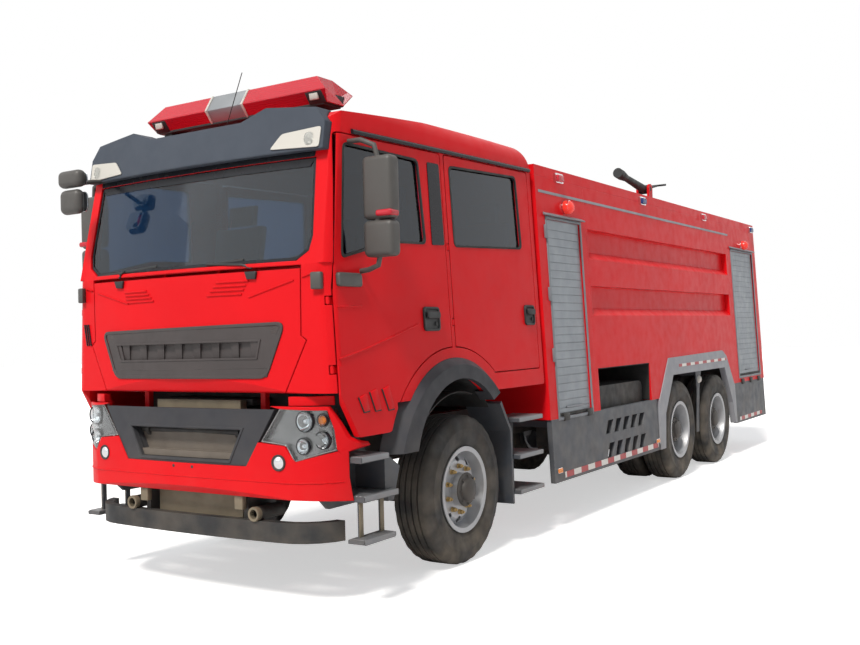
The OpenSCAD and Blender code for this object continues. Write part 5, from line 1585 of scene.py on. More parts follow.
@dataclass
class LidTrim:
    """Pressed ribs and creases of the cab's front, its corner vent and the mesh of its grille.

    Attributes:
        ribs: X and Z of both ends of each pressed rib.
    """

    ribs: tuple = tuple(
        ((a + (c - a) * k / 3, top + (foot - top) * k / 3), (b + (d - b) * k / 3, top + (foot - top) * k / 3))
        for a, b, top, c, d, foot in ((-0.59, -0.36, 2.022, -0.569, -0.292, 1.951),
                                      (0.292, 0.559, 2.046, 0.21, 0.504, 1.965))
        for k in range(4)
    )

    def build(self) -> None:
        """Model the pressed lines and the grille's mesh."""
        pieces = []
        for low, high in self.ribs:
            path = [(a + (b - a) * k / 4, -0.001, c + (d - c) * k / 4) for (a, c), (b, d) in ((low, high),)
                    for k in range(5)]
            pieces.append(Bench.reshape(Bench.pipe(path, 0.006, 2), on_front))
        dress(Bench.join(pieces), "lid_ribs", RED_PAINT, "lid")
        self.mesh()
        for body, (x0, z0), (x1, z1) in (("lid", (0.559, 1.941), (0.905, 2.033)), ("cab", (0.97, 2.05), (1.045, 2.07))):
            path = [(x0 + (x1 - x0) * k / 6, 0.001, z0 + (z1 - z0) * k / 6) for k in range(7)]
            crease = Bench.reshape(Bench.pipe(path, 0.005, 2), on_front)
            twofold([crease], f"{body}_creases", RED_PAINT, body)
        lines = [((-1.075 + 0.012 * k, -0.001, 1.811), (-1.045 + 0.012 * k, -0.001, 1.66)) for k in (0, 2, 4)]
        vent = [Bench.reshape(Bench.pipe(line, 0.006, 2), on_front) for line in lines]
        dress(Bench.join(vent), "corner_vent", GLOSS_BLACK, "cab")
        nozzle = Bench.reshape(Bench.box((-0.262, -0.014, 2.14), (-0.23, 0.01, 2.172), 0.006), on_front)
        dress(nozzle, "washer_nozzle", BLACK_PLASTIC, "cab")

    @staticmethod
    def mesh() -> None:
        """Fine upright and level bars in the grille's slot."""
        bars = []
        for k in range(41):
            x = -0.62 + 0.031 * k
            bars.append(Bench.box((x - 0.003, 0.036, 1.572), (x + 0.003, 0.04, 1.652)))
        for z in (1.59, 1.612, 1.634):
            bars.append(Bench.refine(Bench.box((-0.63, 0.036, z - 0.003), (0.63, 0.04, z + 0.003)), 5))
        grid = Bench.join([Bench.reshape(bar, on_front) for bar in bars])
        dress(grid, "grille_mesh", BLACK_PLASTIC, "lid")
        face = rounded(((-0.836, 1.744), (-0.704, 1.439), (0.681, 1.441), (0.824, 1.77)), 0.055)
        lip = Bench.band(grown(face, 0.012), grown(face, -0.01), Axis.Y, -0.008, 0.006, 0.003)
        slot = ((-0.681, 1.655), (-0.644, 1.555), (0.608, 1.563), (0.633, 1.662))
        rim = Bench.band(grown(slot, 0.014), slot, Axis.Y, -0.01, 0.006, 0.003)
        line = Bench.prism(((-0.745, 1.488), (-0.742, 1.48), (0.697, 1.494), (0.7, 1.502)), Axis.Y, -0.006, 0.004)
        frame_bars = [Bench.reshape(Bench.refine(piece, 4), on_front) for piece in (lip, rim, line)]
        dress(Bench.soften(Bench.join(frame_bars), 0.0), "grille_lips", GRILLE, "lid")
        bands = [Bench.prism(((-0.8, 1.74), (-0.775, 1.69), (0.77, 1.706), (0.8, 1.758)), Axis.Y, -0.004, 0.004),
                 Bench.prism(((-0.715, 1.476), (-0.695, 1.448), (0.672, 1.45), (0.69, 1.49)), Axis.Y, -0.004, 0.004)]
        bands = [Bench.reshape(Bench.refine(piece, 5), on_front) for piece in bands]
        dress(Bench.join(bands), "grille_bands", GRILLE_MESH, "lid")


@dataclass
class DoorTrim:
    """Window seals, handles, creases, louvres, blocks and rails of the cab's sides.

    Attributes:
        front_window: Opening of a front door's window in Y and Z.
        rear_window: Opening of a rear door's window.
        pillar: Black panel behind the front window.
        grips: Body, low and high Y, low and high Z of each handle.
        folds: Pressed lines of a front door in Y and Z.
        slats: Y and Z of both ends of each louvre.
        rail: Y and Z along the rail over the doors.
    """

    front_window: Outline = ((-1.392, 2.172), (-1.306, 2.884), (-0.476, 2.884), (-0.44, 2.314), (-0.86, 2.3))
    rear_window: Outline = ((-0.042, 2.318), (-0.05, 2.892), (0.978, 2.934), (1.004, 2.36))
    pillar: Outline = ((-0.351, 2.891), (-0.2, 2.894), (-0.192, 2.312), (-0.353, 2.304))
    grips: tuple = (("door_front", -0.53, -0.328, 1.7, 1.868), ("door_rear", 0.978, 1.147, 1.73, 1.894))
    folds: tuple = (((-1.485, 1.544), (-1.2, 1.6), (-0.9, 1.672), (-0.597, 1.75)), ((-1.476, 1.862), (-1.223, 1.868)))
    slats: tuple = (((-1.319, 1.3), (-1.272, 1.205)), ((-1.202, 1.326), (-1.15, 1.203)),
                    ((-1.066, 1.337), (-1.005, 1.198)))
    rail: Outline = ((-1.219, 2.972), (-0.7, 2.984), (-0.162, 2.996), (0.5, 3.01), (1.235, 3.025))

    def build(self) -> None:
        """Model the trim of the left doors and mirror it."""
        for name, window in (("front", self.front_window), ("rear", self.rear_window)):
            seal = Bench.band(rounded(grown(window, 0.012), 0.05), rounded(grown(window, -0.004), 0.04),
                              Axis.X, -0.012, 0.003)
            pair(Bench.soften(Bench.reshape(seal, on_cab), 0.0), f"seal_{name}", RUBBER, f"door_{name}")
        panel = Bench.prism(rounded(self.pillar, 0.012, 2), Axis.X, -0.004, 0.004)
        pair(Bench.reshape(panel, on_cab), "pillar_panel", GLOSS_BLACK, "door_front")
        self.handles()
        self.creases()
        self.louvres()
        self.corner_blocks()
        self.drip_rail()

    def handles(self) -> None:
        """Recessed pull handles behind the edge of each door."""
        for body, y0, y1, z0, z1 in self.grips:
            cup = Bench.band(rounded_box(y0, y1, z0, z1, 0.03),
                             rounded_box(y0 + 0.016, y1 - 0.016, z0 + 0.016, z1 - 0.016, 0.02),
                             Axis.X, -0.004, 0.014, 0.004)
            dish = Bench.prism(rounded_box(y0 + 0.012, y1 - 0.012, z0 + 0.012, z1 - 0.012, 0.02), Axis.X, -0.002, 0.003)
            grip = Bench.prism(rounded_box(y0 + 0.02, y1 - 0.02, (z0 + z1) / 2 + 0.004, (z0 + z1) / 2 + 0.052, 0.016),
                               Axis.X, 0.014, 0.034, 0.008, 3)
            lock = Bench.spin(((0, 0), (0.014, 0), (0.014, 0.008), (0.01, 0.011), (0, 0.011)),
                              (0.003, y1 - 0.05, z0 + 0.05), Axis.X, 20)
            handle = Bench.join([cup, dish, grip, lock])
            pair(Bench.reshape(handle, on_cab), f"handle_{body}", BLACK_PLASTIC, body)

    def creases(self) -> None:
        """Pressed lines on the front door."""
        pipes = [Bench.pipe([(-0.001, y, z) for y, z in line], 0.006, 2) for line in self.folds]
        pair(Bench.reshape(Bench.join(pipes), on_cab), "door_creases", RED_PAINT, "door_front")

    def louvres(self) -> None:
        """Slanted louvres low on the front door."""
        blades, slits = [], []
        for (y0, z0), (y1, z1) in self.slats:
            blade = ((y0, z0), (y0 + 0.075, z0 + 0.02), (y1 + 0.06, z1 + 0.008), (y1, z1))
            blades.append(Bench.prism(blade, Axis.X, -0.004, 0.007, 0.005))
            slit = ((0.003, y0 - 0.004, z0), (0.003, y1 - 0.004, z1), (0.003, y1 + 0.055, z1 + 0.004))
            slits.append(Bench.pipe(slit, 0.005, 2))
        pair(Bench.reshape(Bench.join(blades), on_cab), "door_louvres", RED_PAINT, "door_front")
        pair(Bench.reshape(Bench.join(slits), on_cab), "louvre_slits", RUBBER, "door_front")

    @staticmethod
    def corner_blocks() -> None:
        """Grey blocks at the belt: one on the door and one round the cab's corner."""
        block = Bench.prism(rounded_box(-1.47, -1.236, 1.985, 2.072, 0.02), Axis.X, -0.006, 0.03, 0.01, 3)
        pair(Bench.reshape(block, on_cab), "belt_block", MIRROR_GREY, "door_front")
        plan = ((1.06, -1.54), (1.05, -1.583), (1.095, -1.576), (1.122, -1.566), (1.116, -1.53), (1.09, -1.536))
        corner = Bench.prism(plan, Axis.Z, 1.97, 2.075, 0.008)
        twofold([corner], "corner_blocks", MIRROR_GREY, "cab")

    def drip_rail(self) -> None:
        """Rails over the doors along the cab's roof."""
        rail = Bench.pipe([(0.004, y, z) for y, z in self.rail], 0.017, 3)
        twofold([rail], "drip_rails", GLOSS_BLACK, "cab", on_cab)
        flare = Bench.spin(((0, 0.0), (0.026, 0.0), (0.024, 0.016), (0.012, 0.024), (0, 0.026)),
                           (cab_x(1.4) + 0.004, -0.078, 1.4), Axis.X, 24)
        twofold([flare], "flare_lamps", AMBER_LENS, "cab")


@dataclass
class Mirrors:
    """Door mirrors: two heads on bent arms.

    Attributes:
        heads: Low and high Z of each head.
        side: Low and high X of the heads.
        depth: Front and rear Y of the heads.
    """

    heads: tuple = ((2.397, 2.79), (2.165, 2.391))
    side: Span = (1.235, 1.45)
    depth: Span = (-1.29, -1.168)

    def build(self) -> None:
        """Model the left mirror and mirror it."""
        (x0, x1), (y0, y1) = self.side, self.depth
        shells, glass = [], []
        for z0, z1 in self.heads:
            shell = Bench.box((x0, y0, z0), (x1, y1, z1), 0.034, 5)
            Bench.reshape(shell,
                          lambda spot: spot + Vector((0, 0.05 * (spot.x - x0), 0)) if spot.y < y0 + 0.05 else spot)
            shells.append(shell)
            pane = rounded_box(x0 + 0.018, x1 - 0.018, z0 + 0.018, z1 - 0.018, 0.035)
            glass.append(Bench.prism(pane, Axis.Y, y1 - 0.002, y1 + 0.004, 0.002))
        arms = [
            Bench.pipe(((1.1, -1.25, 2.905), (1.22, -1.262, 2.9), (1.31, -1.245, 2.86), (1.33, -1.235, 2.77)), 0.017),
            Bench.pipe(((1.12, -1.2, 2.085), (1.23, -1.222, 2.092), (1.31, -1.23, 2.115), (1.33, -1.235, 2.18)), 0.017),
            Bench.pipe(((1.33, -1.235, 2.35), (1.33, -1.235, 2.45)), 0.03),
        ]
        pair(Bench.join(shells + arms), "mirror_heads", MIRROR_GREY, "door_front", "mirror")
        pair(Bench.join(glass), "mirror_glasses", MIRROR_GLASS, "door_front")
        insert = Bench.box((x0 + 0.1, y0 - 0.002, 2.412), (x1 + 0.004, y1 - 0.02, 2.452), 0.016, 4)
        pair(insert, "mirror_inserts", RED_LENS, "door_front")


@dataclass
class Steps:
    """Tread plates on the cab's steps and the pale straps of the hanging step.

    Attributes:
        treads: Low and high X, low and high Y and top Z of each tread.
    """

    treads: tuple = (
        (0.94, 1.232, -1.36, -1.08, 0.934), (0.94, 1.232, -1.34, -0.985, 0.692), (1.16, 1.262, -1.39, -1.07, 0.436),
        (0.97, 1.232, 0.71, 1.11, 0.998), (0.97, 1.232, 0.71, 1.11, 0.709), (0.97, 1.232, 0.71, 1.11, 0.433),
    )

    def build(self) -> None:
        """Model the plates with their turned-down noses."""
        plates = []
        for x0, x1, y0, y1, z in self.treads:
            plates.append(Bench.box((x0, y0, z - 0.002), (x1, y1, z + 0.005), 0.002))
            plates.append(Bench.box((x1 + 0.004, y0, z - 0.03), (x1 + 0.014, y1, z + 0.005), 0.003))
        twofold(plates, "step_treads", TREAD_PLATE, "chassis")
        straps = [Bench.box((1.191, y - 0.02, 0.43), (1.197, y + 0.02, 0.665), 0.002) for y in (-1.32, -1.1)]
        twofold(straps, "step_straps", COOLER, "chassis")


@dataclass
class BodyTrim:
    """Shutter frames, hinges, latches, lamp lenses, tape and stripe on the body's sides.

    Attributes:
        shutters: Low and high Y and Z of the side shutters.
        square_lamps: Y and lens of the square lamps under the roof edge.
        round_lamps: Y of the round red lamps.
        marker_lamps: Y of the amber lamps on the skirt.
        hinges: Y and Z of the hinges beside the front shutter.
        latches: Y of the latches under the shutters.
        tapes: Node that a tape lies on and its corners in Y and Z.
    """

    shutters: tuple = ((1.478, 2.16, 0.94, 2.64), (6.992, 8.008, 1.01, 2.67))
    square_lamps: tuple = ((1.75, "red"), (3.795, "blue"), (5.871, "red"), (8.007, "blue"))
    round_lamps: tuple[float, ...] = (1.857, 7.531)
    marker_lamps: tuple[float, ...] = (1.391, 3.76)
    hinges: Outline = ((1.434, 2.528), (1.434, 1.992), (1.434, 1.472))
    latches: tuple[float, ...] = (1.6, 2.1, 7.1, 7.5, 7.9)
    tapes: tuple = (
        ("side_skirts", ((1.506, 0.425), (3.8, 0.432), (3.8, 0.482), (1.506, 0.475))),
        ("arch_trims", ((4.585, 1.236), (6.4, 1.244), (6.4, 1.276), (4.585, 1.268))),
        ("side_skirts", ((6.859, 0.44), (7.96, 0.446), (7.96, 0.492), (6.859, 0.488))),
    )

    def build(self) -> None:
        """Model the left side's pieces and mirror them."""
        self.frames()
        self.fittings()
        self.lenses()
        self.tape()
        stripe = Bench.prism(quad((1.357, 2.858), (6.897, 2.882)), Axis.X, -0.003, 0.004)
        twofold([stripe], "side_stripe", LIGHT_GREY, "chassis", on_body)

    def frames(self) -> None:
        """Silver frames round the shutters, with a grip bar and a rubber lip along the foot."""
        frames, lips = [], []
        for y0, y1, z0, z1 in self.shutters:
            outer = quad((y0 - 0.026, z0 - 0.026), (y1 + 0.026, z1 + 0.026))
            frames.append(Bench.band(outer, quad((y0, z0), (y1, z1)), Axis.X, -0.012, 0.008, 0.003))
            hood = ((0.0, z1 + 0.03), (0.036, z1 + 0.024), (0.04, z1 + 0.034), (0.0, z1 + 0.056))
            frames.append(Bench.prism(hood, Axis.Y, y0 - 0.06, y1 + 0.06, 0.003))
            lips.append(Bench.box((-0.012, y0 + 0.01, z0 + 0.004), (-0.002, y1 - 0.01, z0 + 0.03), 0.003))
            bends = ((-0.012, -0.16), (0.014, -0.14), (0.014, 0.14), (-0.012, 0.16))
            grip = [(x, (y0 + y1) / 2 + y, z0 + 0.075) for x, y in bends]
            frames.append(Bench.pipe(grip, 0.009, 3))
        twofold(frames, "shutter_frames", FRAME_GREY, "chassis", on_body)
        twofold(lips, "shutter_lips", RUBBER, "chassis", on_body)

    def fittings(self) -> None:
        """Hinges and latches of the shutters, and the lamp bracket between the rear wheels."""
        hinges = [Bench.box((-0.002, y - 0.016, z - 0.058), (0.018, y + 0.016, z + 0.058), 0.005)
                  for y, z in self.hinges]
        latches = [Bench.box((-0.002, y - 0.05, 0.905), (0.02, y + 0.05, 0.972), 0.006) for y in self.latches]
        twofold(latches, "shutter_latches", BLACK_PLASTIC, "chassis", on_body)
        twofold(hinges, "side_hinges", FRAME_GREY, "chassis", on_body)
        bracket = Bench.prism(((5.3, 1.18), (5.34, 0.95), (5.3, 0.44), (5.39, 0.44), (5.44, 0.95), (5.52, 1.18)),
                              Axis.X, 1.165, 1.177, 0.003)
        stay = Bench.box((0.93, 5.38, 1.1), (1.17, 5.42, 1.175), 0.006)
        twofold([bracket, stay], "wheel_bracket", DARK_GREY, "chassis")
        lamp = Bench.spin(((0, 0.034), (0.03, 0.028), (0.044, 0.012), (0.046, 0.0), (0, -0.004)), (1.177, 5.41, 1.056),
                          Axis.X, 28)
        twofold([lamp], "wheel_lamp", WHITE_PANEL, "chassis")

    def lenses(self) -> None:
        """Lenses of the lamps along the sides."""
        kinds = {"red": (RED_LENS, Slot.LAMP_RED), "blue": (BLUE_LENS, Slot.CLEAR)}
        for kind, (finish, slot) in kinds.items():
            caps = [Bench.box((0.022, y - 0.062, 2.985), (0.046, y + 0.062, 3.045), 0.012, 4)
                    for y, colour in self.square_lamps if colour == kind]
            twofold(caps, f"side_lamps_{kind}", finish, "chassis", on_body)
        dome = ((0, 0.098), (0.034, 0.09), (0.054, 0.07), (0.061, 0.045), (0.062, 0.016), (0, 0.014))
        domes = [Bench.spin(dome, (0, y, 2.768), Axis.X, 32) for y in self.round_lamps]
        twofold(domes, "round_lamps", BEACON_LENS, "chassis", on_body)
        ambers = [Bench.box((0.012, y - 0.04, 0.482), (0.022, y + 0.04, 0.518), 0.004, 3) for y in self.marker_lamps]
        twofold(ambers, "marker_lamps", AMBER_LENS, "chassis", on_body)

    def tape(self) -> None:
        """Reflecting tape along the skirts and over the rear arch."""
        strips = []
        for node, corners in self.tapes:
            strip = Bench.refine(Bench.sheet(corners, Axis.X, 1.42), 2)
            strips.append(Bench.drape(strip, node, Axis.X, 0.002, 0.0015, back=True))
        twofold(strips, "side_tape", TAPE, "chassis")


@dataclass
class RoofTrim:
    """Tread plates on the roof deck, and the hatch's plate with its screws.

    Attributes:
        deck: Height of the deck.
        plates: Low and high X and Y of the tread plates.
    """

    deck: float = 3.02
    plates: tuple = ((-0.98, 0.98, 1.45, 2.94), (-0.98, -0.36, 2.96, 3.68), (0.36, 0.98, 2.96, 3.68),
                     (-0.98, 0.98, 3.7, 6.76), (-0.98, 0.98, 7.18, 8.1))

    def build(self) -> None:
        """Model the deck's pieces."""
        plates = [Bench.box((x0, y0, self.deck - 0.002), (x1, y1, self.deck + 0.004), 0.001)
                  for x0, x1, y0, y1 in self.plates]
        dress(Bench.join(plates), "deck_plates", TREAD_PLATE, "chassis")
        lid = Bench.box((-0.25, 3.05, 3.113), (0.25, 3.52, 3.118), 0.002)
        screws = Bench.spin(((0, 0), (0.012, 0), (0.012, 0.006), (0.009, 0.009), (0, 0.009)), (0, 0, 3.113), Axis.Z, 6)
        screws = Bench.copies(screws, [(x, y, 0) for x in (-0.27, 0.27) for y in (3.06, 3.28, 3.5)])
        dress(Bench.join([lid, screws]), "hatch_plate", TREAD_PLATE, "hatch")


@dataclass
class RearTrim:
    """Frame of the rear shutter, tail lamp lenses, reflectors, blank plate and the step's tread.

    Attributes:
        wall: Place of the rear wall.
        tails: Z and lens of the tail lamps.
    """

    wall: float = 8.202
    tails: tuple = ((1.18, "clear"), (1.4, "amber"), (1.62, "red"))

    def build(self) -> None:
        """Model the rear end's pieces."""
        y = self.wall
        frame_band = Bench.band(quad((-0.8, 0.98), (0.8, 2.66)), quad((-0.76, 1.01), (0.76, 2.62)),
                                Axis.Y, y - 0.012, y + 0.01, 0.003)
        bar = Bench.pipe(((-0.3, y - 0.012, 1.1), (-0.28, y + 0.02, 1.1), (0.28, y + 0.02, 1.1), (0.3, y - 0.012, 1.1)),
                         0.01, 3)
        dress(Bench.join([frame_band, bar]), "rear_shutter_frame", SILVER, "chassis")
        lenses = {"clear": (CLEAR_LENS, Slot.CLEAR), "amber": (AMBER_LENS, Slot.CLEAR),
                  "red": (RED_LENS, Slot.LAMP_RED)}
        for z, kind in self.tails:
            finish, slot = lenses[kind]
            lens = Bench.box((0.905, y + 0.036, z - 0.076), (1.035, y + 0.054, z + 0.076), 0.01, 3)
            twofold([lens], f"tail_lenses_{kind}", finish, "chassis")
        reflector = Bench.box((0.93, y - 0.002, 0.985), (1.02, y + 0.01, 1.045), 0.006)
        lamp = Bench.box((0.93, y - 0.002, 2.9), (1.04, y + 0.036, 2.955), 0.01, 3)
        twofold([reflector, lamp], "rear_reflectors", RED_LENS, "chassis")
        plate = Bench.box((-0.26, y + 0.134, 0.575), (0.26, y + 0.142, 0.685), 0.003)
        plate.data.transform(Matrix.Translation((0.62, -0.014, 0)))
        dress(plate, "blank_plate", WHITE_PANEL, "chassis")
        tread = Bench.box((-1.14, y + 0.016, 0.699), (1.14, y + 0.118, 0.705), 0.002)
        dress(tread, "rear_step_tread", TREAD_PLATE, "chassis")


@dataclass
class MonitorTrim:
    """Flange bolts and handwheel of the monitor's base.

    Attributes:
        middle: Y of the swivel.
        flange: Height of the flange's top.
        handwheel: X and Z of the handwheel's middle.
    """

    middle: float = 6.96
    flange: float = 3.12
    handwheel: Span = (0.135, 3.26)

    def build(self) -> None:
        """Model the monitor's small pieces."""
        y = self.middle
        profile = ((0, 0), (0.013, 0), (0.013, 0.01), (0.008, 0.012), (0.008, 0.018), (0, 0.018))
        bolt = Bench.spin(profile, (0, y + 0.115, self.flange), Axis.Z, 6)
        bolts = Bench.ring(bolt, 8, (0, y, self.flange), Axis.Z)
        dress(bolts, "monitor_bolts", SILVER, "monitor_swivel")
        x, z = self.handwheel
        rim = ((0.062, -0.006), (0.07, -0.01), (0.078, 0.0), (0.07, 0.01), (0.062, 0.006))
        shaft = ((0, -0.06), (0.014, -0.06), (0.016, 0.012), (0, 0.014))
        wheel = [Bench.spin(turned, (x, y, z), Axis.X, steps) for turned, steps in ((rim, 36), (shaft, 16))]
        spoke = Bench.pipe(((x, y, z + 0.002), (x, y, z + 0.068)), 0.006, 2)
        wheel.append(Bench.ring(spoke, 4, (x, y, z), Axis.X))
        dress(Bench.join(wheel), "monitor_handwheel", BLACK_PLASTIC, "monitor_swivel")


@dataclass
class Cabin:
    """Seats, dashboard and steering wheel of the cab.

    Attributes:
        floor: Height of the cab's floor.
        seats: X and Y of the seats.
        tilt: Tilt of the steering wheel in degrees.
        dash_side: Dashboard in Y and Z.
    """

    floor: float = 1.45
    seats: tuple = ((0.72, -0.64), (-0.72, -0.64), (0.78, 0.64), (-0.78, 0.64), (0.0, 0.64))
    tilt: float = 32.0
    dash_side: Outline = ((-1.436, 1.7), (-1.436, 2.085), (-1.3, 2.095), (-1.16, 2.02), (-1.125, 1.9), (-1.12, 1.76),
                          (-1.25, 1.7))

    def build(self) -> None:
        """Model the cab's inside, which stands for the plain CAD inside."""
        frames, covers, seams = [], [], []
        for x, y in self.seats:
            z = self.floor
            frames.append(Bench.box((x - 0.22, y - 0.22, z), (x + 0.22, y + 0.2, z + 0.345), 0.02))
            spine = ((y + 0.2, z + 0.42), (y + 0.3, z + 0.46), (y + 0.385, z + 1.1), (y + 0.355, z + 1.12))
            frames.append(Bench.prism(spine, Axis.X, x - 0.22, x + 0.22, 0.01))
            covers.append(self.cushion((x - 0.26, y - 0.28, z + 0.335), (x + 0.26, y + 0.25, z + 0.465)))
            back = self.cushion((x - 0.25, y + 0.195, z + 0.46), (x + 0.25, y + 0.305, z + 1.13))
            rest = self.cushion((x - 0.14, y + 0.215, z + 1.135), (x + 0.14, y + 0.295, z + 1.3))
            covers += [self.leant(pad, z + 0.46) for pad in (back, rest)]
            seams.append(Bench.pipe(((x - 0.255, y - 0.272, z + 0.4), (x + 0.255, y - 0.272, z + 0.4)), 0.004, 2))
        dress(Bench.join(frames), "seat_frames", INSIDE, "cab", ("cab_interior",))
        seats = dress(Bench.join(covers), "seat_cushions", FABRIC, "cab")
        dress(Bench.join(seams), "seat_seams", RUBBER, "cab")
        self.dash()
        self.wheel()

    @staticmethod
    def cushion(low: Point, high: Point) -> Piece:
        """Stuffed pad with a crowned top, full middle and sides drawn in between its corners.

        Args:
            low: Lowest corner.
            high: Highest corner.

        Returns:
            The new piece.
        """
        pad = Bench.box(low, high)
        Bench.only(pad)
        with Bench.editing():
            bpy.ops.mesh.subdivide(number_cuts=9)
        middle = Vector([(a + b) / 2 for a, b in zip(low, high)])
        half = Vector([(b - a) / 2 for a, b in zip(low, high)])
        thin = min(range(3), key=lambda k: half[k])
        wide = [k for k in range(3) if k != thin]

        def stuff(spot: Vector) -> Vector:
            """Swell the pad's faces and draw in its sides.

            Args:
                spot: A corner of the piece.

            Returns:
                Where it goes.
            """
            share = Vector([(spot[k] - middle[k]) / half[k] for k in range(3)])
            crown = (1 - share[wide[0]] ** 4) * (1 - share[wide[1]] ** 4)
            channel = 0.05 * math.cos(share[wide[0]] * math.pi * 3) * crown
            made = spot.copy()
            made[thin] = middle[thin] + half[thin] * share[thin] * (0.62 + 0.36 * crown + channel * 0.5)
            for k, other in (wide, wide[::-1]):
                made[k] = middle[k] + half[k] * share[k] * (1 - 0.035 * (1 - share[other] ** 2) * abs(share[k]))
            return made

        Bench.reshape(pad, stuff)
        Bench.apply(pad, "SUBSURF", levels=1, render_levels=1)
        return Bench.soften(pad, 0.0)

    @staticmethod
    def leant(piece: Piece, z: float) -> Piece:
        """Lean a seat's back from its foot."""
        return Bench.reshape(piece, lambda spot: spot + Vector((0, 0.17 * (spot.z - z), 0)))

    def dash(self) -> None:
        """Dashboard with its hood, instrument face, vents and the engine cover between the seats."""
        pieces = [Bench.prism(rounded(self.dash_side, 0.03, 3), Axis.X, -1.07, 1.07, 0.01)]
        hood = ((-1.3, 2.08), (-1.16, 2.05), (-1.13, 2.12), (-1.26, 2.15))
        pieces.append(Bench.prism(hood, Axis.X, 0.48, 0.96, 0.02, 3))
        pieces.append(Bench.box((-0.32, -1.0, 1.45), (0.32, 0.2, 1.62), 0.05, 4))
        dress(Bench.join(pieces), "dashboard", INSIDE, "cab")
        face = [Bench.prism(quad((0.52, 2.06), (0.92, 2.11)), Axis.Y, -1.15, -1.142, 0.003),
                Bench.box((-0.12, -1.135, 1.86), (0.16, -1.112, 2.0), 0.008)]
        vents = [Bench.box((x - 0.06, -1.126, 1.84), (x + 0.06, -1.112, 1.92), 0.01) for x in (-0.9, -0.45, 0.32, 0.98)]
        dress(Bench.join(face + vents), "dash_faces", GLOSS_BLACK, "cab")

    def wheel(self) -> None:
        """Steering wheel with spokes, hub and column."""
        turns = [math.tau * k / 10 for k in range(10)]
        section = [(0.225 + 0.017 * math.cos(turn), 0.017 * math.sin(turn)) for turn in turns]
        rim = Bench.spin(section, (0, 0, 0), Axis.Z, 56)
        hub = Bench.spin(((0, -0.05), (0.07, -0.05), (0.085, -0.01), (0.06, 0.012), (0, 0.016)), (0, 0, 0), Axis.Z, 28)
        spoke = Bench.box((-0.018, 0.06, -0.022), (0.018, 0.222, -0.004), 0.006)
        column = Bench.spin(((0, -0.34), (0.05, -0.34), (0.045, -0.04), (0, -0.04)), (0, 0, 0), Axis.Z, 20)
        wheel = Bench.join([rim, hub, Bench.ring(spoke, 4, (0, 0, 0), Axis.Z), column])
        lean = Matrix.Rotation(math.radians(-self.tilt), 4, "X")
        wheel.data.transform(Matrix.Translation((0.72, -1.075, 2.08)) @ lean)
        dress(wheel, "steering_wheel", BLACK_PLASTIC, "cab")


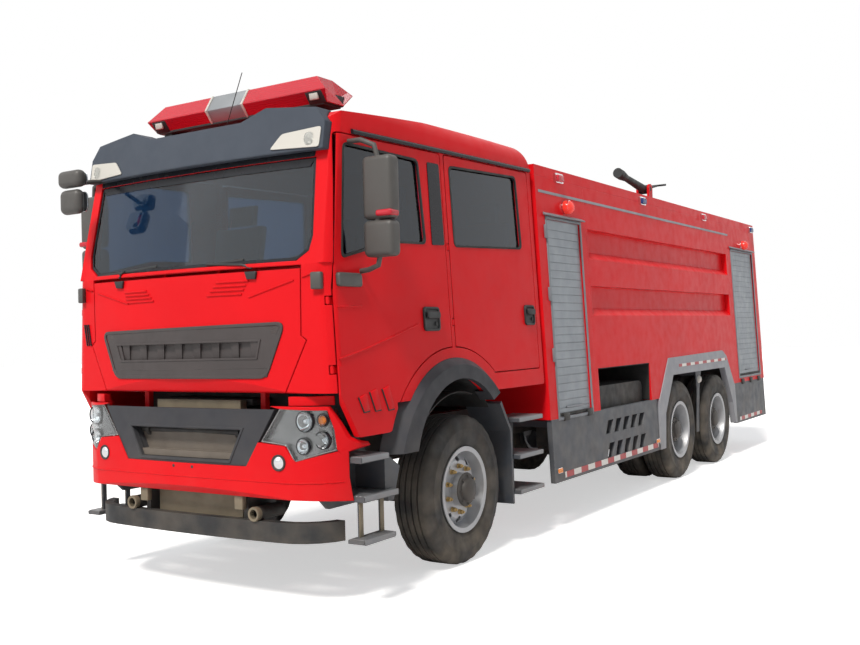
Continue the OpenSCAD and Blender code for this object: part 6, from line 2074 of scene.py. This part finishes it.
@dataclass
class Shells:
    """CAD shells merged and shaded smooth, dark linings of the wheel arches, which also paint the shade under them, and
    dark plates that paint the shade inside the open side box.

    Attributes:
        rows: Node, finish, body and slot of each shell.
        arcs: Name, body, Y and Z of the middle, radius, thickness, degrees of both ends, steps and X of both edges of
            each lining over a front wheel.
        rear_arch: Dark lining of the rear wheel arch, in Y and Z, which also paints the shade under the arch.
        side_box: Spans in Y and Z of the dark plates that paint the shade inside the open side box.
    """

    rows: tuple = (
        ("front_bumper", RED_PAINT, "chassis", Slot.RED), ("front_underrun", BLACK_PLASTIC, "chassis", Slot.PLASTIC),
        ("visor", VISOR_GREY, "cab", Slot.DARK), ("wheel_flares", FLARE_GREY, "cab", Slot.DARK),
        ("cab_shell", RED_PAINT, "cab", Slot.RED), ("monitor_base", RED_PAINT, "monitor_swivel", Slot.RED),
        ("monitor_barrel", BLACK_PLASTIC, "monitor_barrel", Slot.PLASTIC),
        ("rear_access", SILVER, "chassis", Slot.SILVER),
    )
    arcs: tuple = (
        ("wheel_liners", "chassis", 0.0, AXLE_Z, 0.705, 0.008, 74.0, 136.0, 16, 0.78, 1.12),
        ("cab_arch_lining", "cab", -0.13, 0.735, 0.6375, 0.003, 36.0, 156.0, 20, 0.62, 1.15),
    )
    rear_arch: Outline = (
        (REAR_ARCH[0] - 0.046, 0.93), (REAR_ARCH[0] + 0.196, 1.219), (REAR_ARCH[0] + 0.352, 1.259),
        (REAR_ARCH[1] - 0.402, 1.259), (REAR_ARCH[1] - 0.226, 1.219), (REAR_ARCH[1] + 0.046, 0.93),
    )
    side_box: tuple[Outline, ...] = (((2.36, 3.7), (1.31, 1.315)), ((2.363, 2.368), (0.935, 1.315)),
                                     ((3.692, 3.697), (0.935, 1.315)))

    def build(self) -> None:
        """Copy each shell, and model the dark linings and the plates of painted shade."""
        for node, finish, body, slot in self.rows:
            dress(self.smoothed(node), f"{node}_smooth", finish, body, (node,))
        # Dark linings over the front wheels, which also paint the shade inside the arches
        for name, body, y, z, radius, thick, first, last, steps, x0, x1 in self.arcs:
            turns = [math.radians(first + (last - first) * k / steps) for k in range(steps + 1)]
            sides = ((radius, turns), (radius + thick, turns[::-1]))
            arc = [(y + r * math.cos(turn), z + r * math.sin(turn)) for r, way in sides for turn in way]
            twofold([Bench.prism(arc, Axis.X, x0, x1)], name, RUBBER, body)
        # Dark plates under the rear arch and inside the open side box paint the shade there
        under = [(y, z - 0.005) for y, z in self.rear_arch[::-1]]
        plates = [Bench.prism((*self.rear_arch, *under), Axis.X, 0.57, 1.16)]
        for (y0, y1), (z0, z1) in self.side_box:
            plates.append(Bench.box((0.51, y0, z0), (1.205, y1, z1), 0.0))
        twofold(plates, "body_linings", RUBBER, "chassis")

    @staticmethod
    def smoothed(node: str) -> Piece:
        """Merged copy of a CAD node with its round faces shaded smooth.

        Args:
            node: The CAD node's name.

        Returns:
            The copy, in axle-based places.
        """
        twin = Bench.twin(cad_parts[node], Matrix.Translation((0, -AXLE_Y, 0)))
        Bench.only(twin)
        with Bench.editing():
            bpy.ops.mesh.remove_doubles(threshold=MERGE_REACH)
        bpy.ops.mesh.customdata_custom_splitnormals_clear()
        bpy.ops.object.shade_smooth_by_angle(angle=SHELL_ANGLE)
        return twin


def main() -> None:
    """Build the stage and every sub-assembly in order."""
    logging.basicConfig(level=logging.INFO, format="%(name)s %(message)s")
    Stage().build()
    NodeFinishes().dress()
    assemblies = (Wheels, LightBar, Screen, BumperTrim, LidTrim, DoorTrim, Mirrors, Steps, BodyTrim, RoofTrim,
                  RearTrim, MonitorTrim, Cabin, Shells)
    for assembly in assemblies:
        assembly().build()


if __name__ == "__main__":
    main()
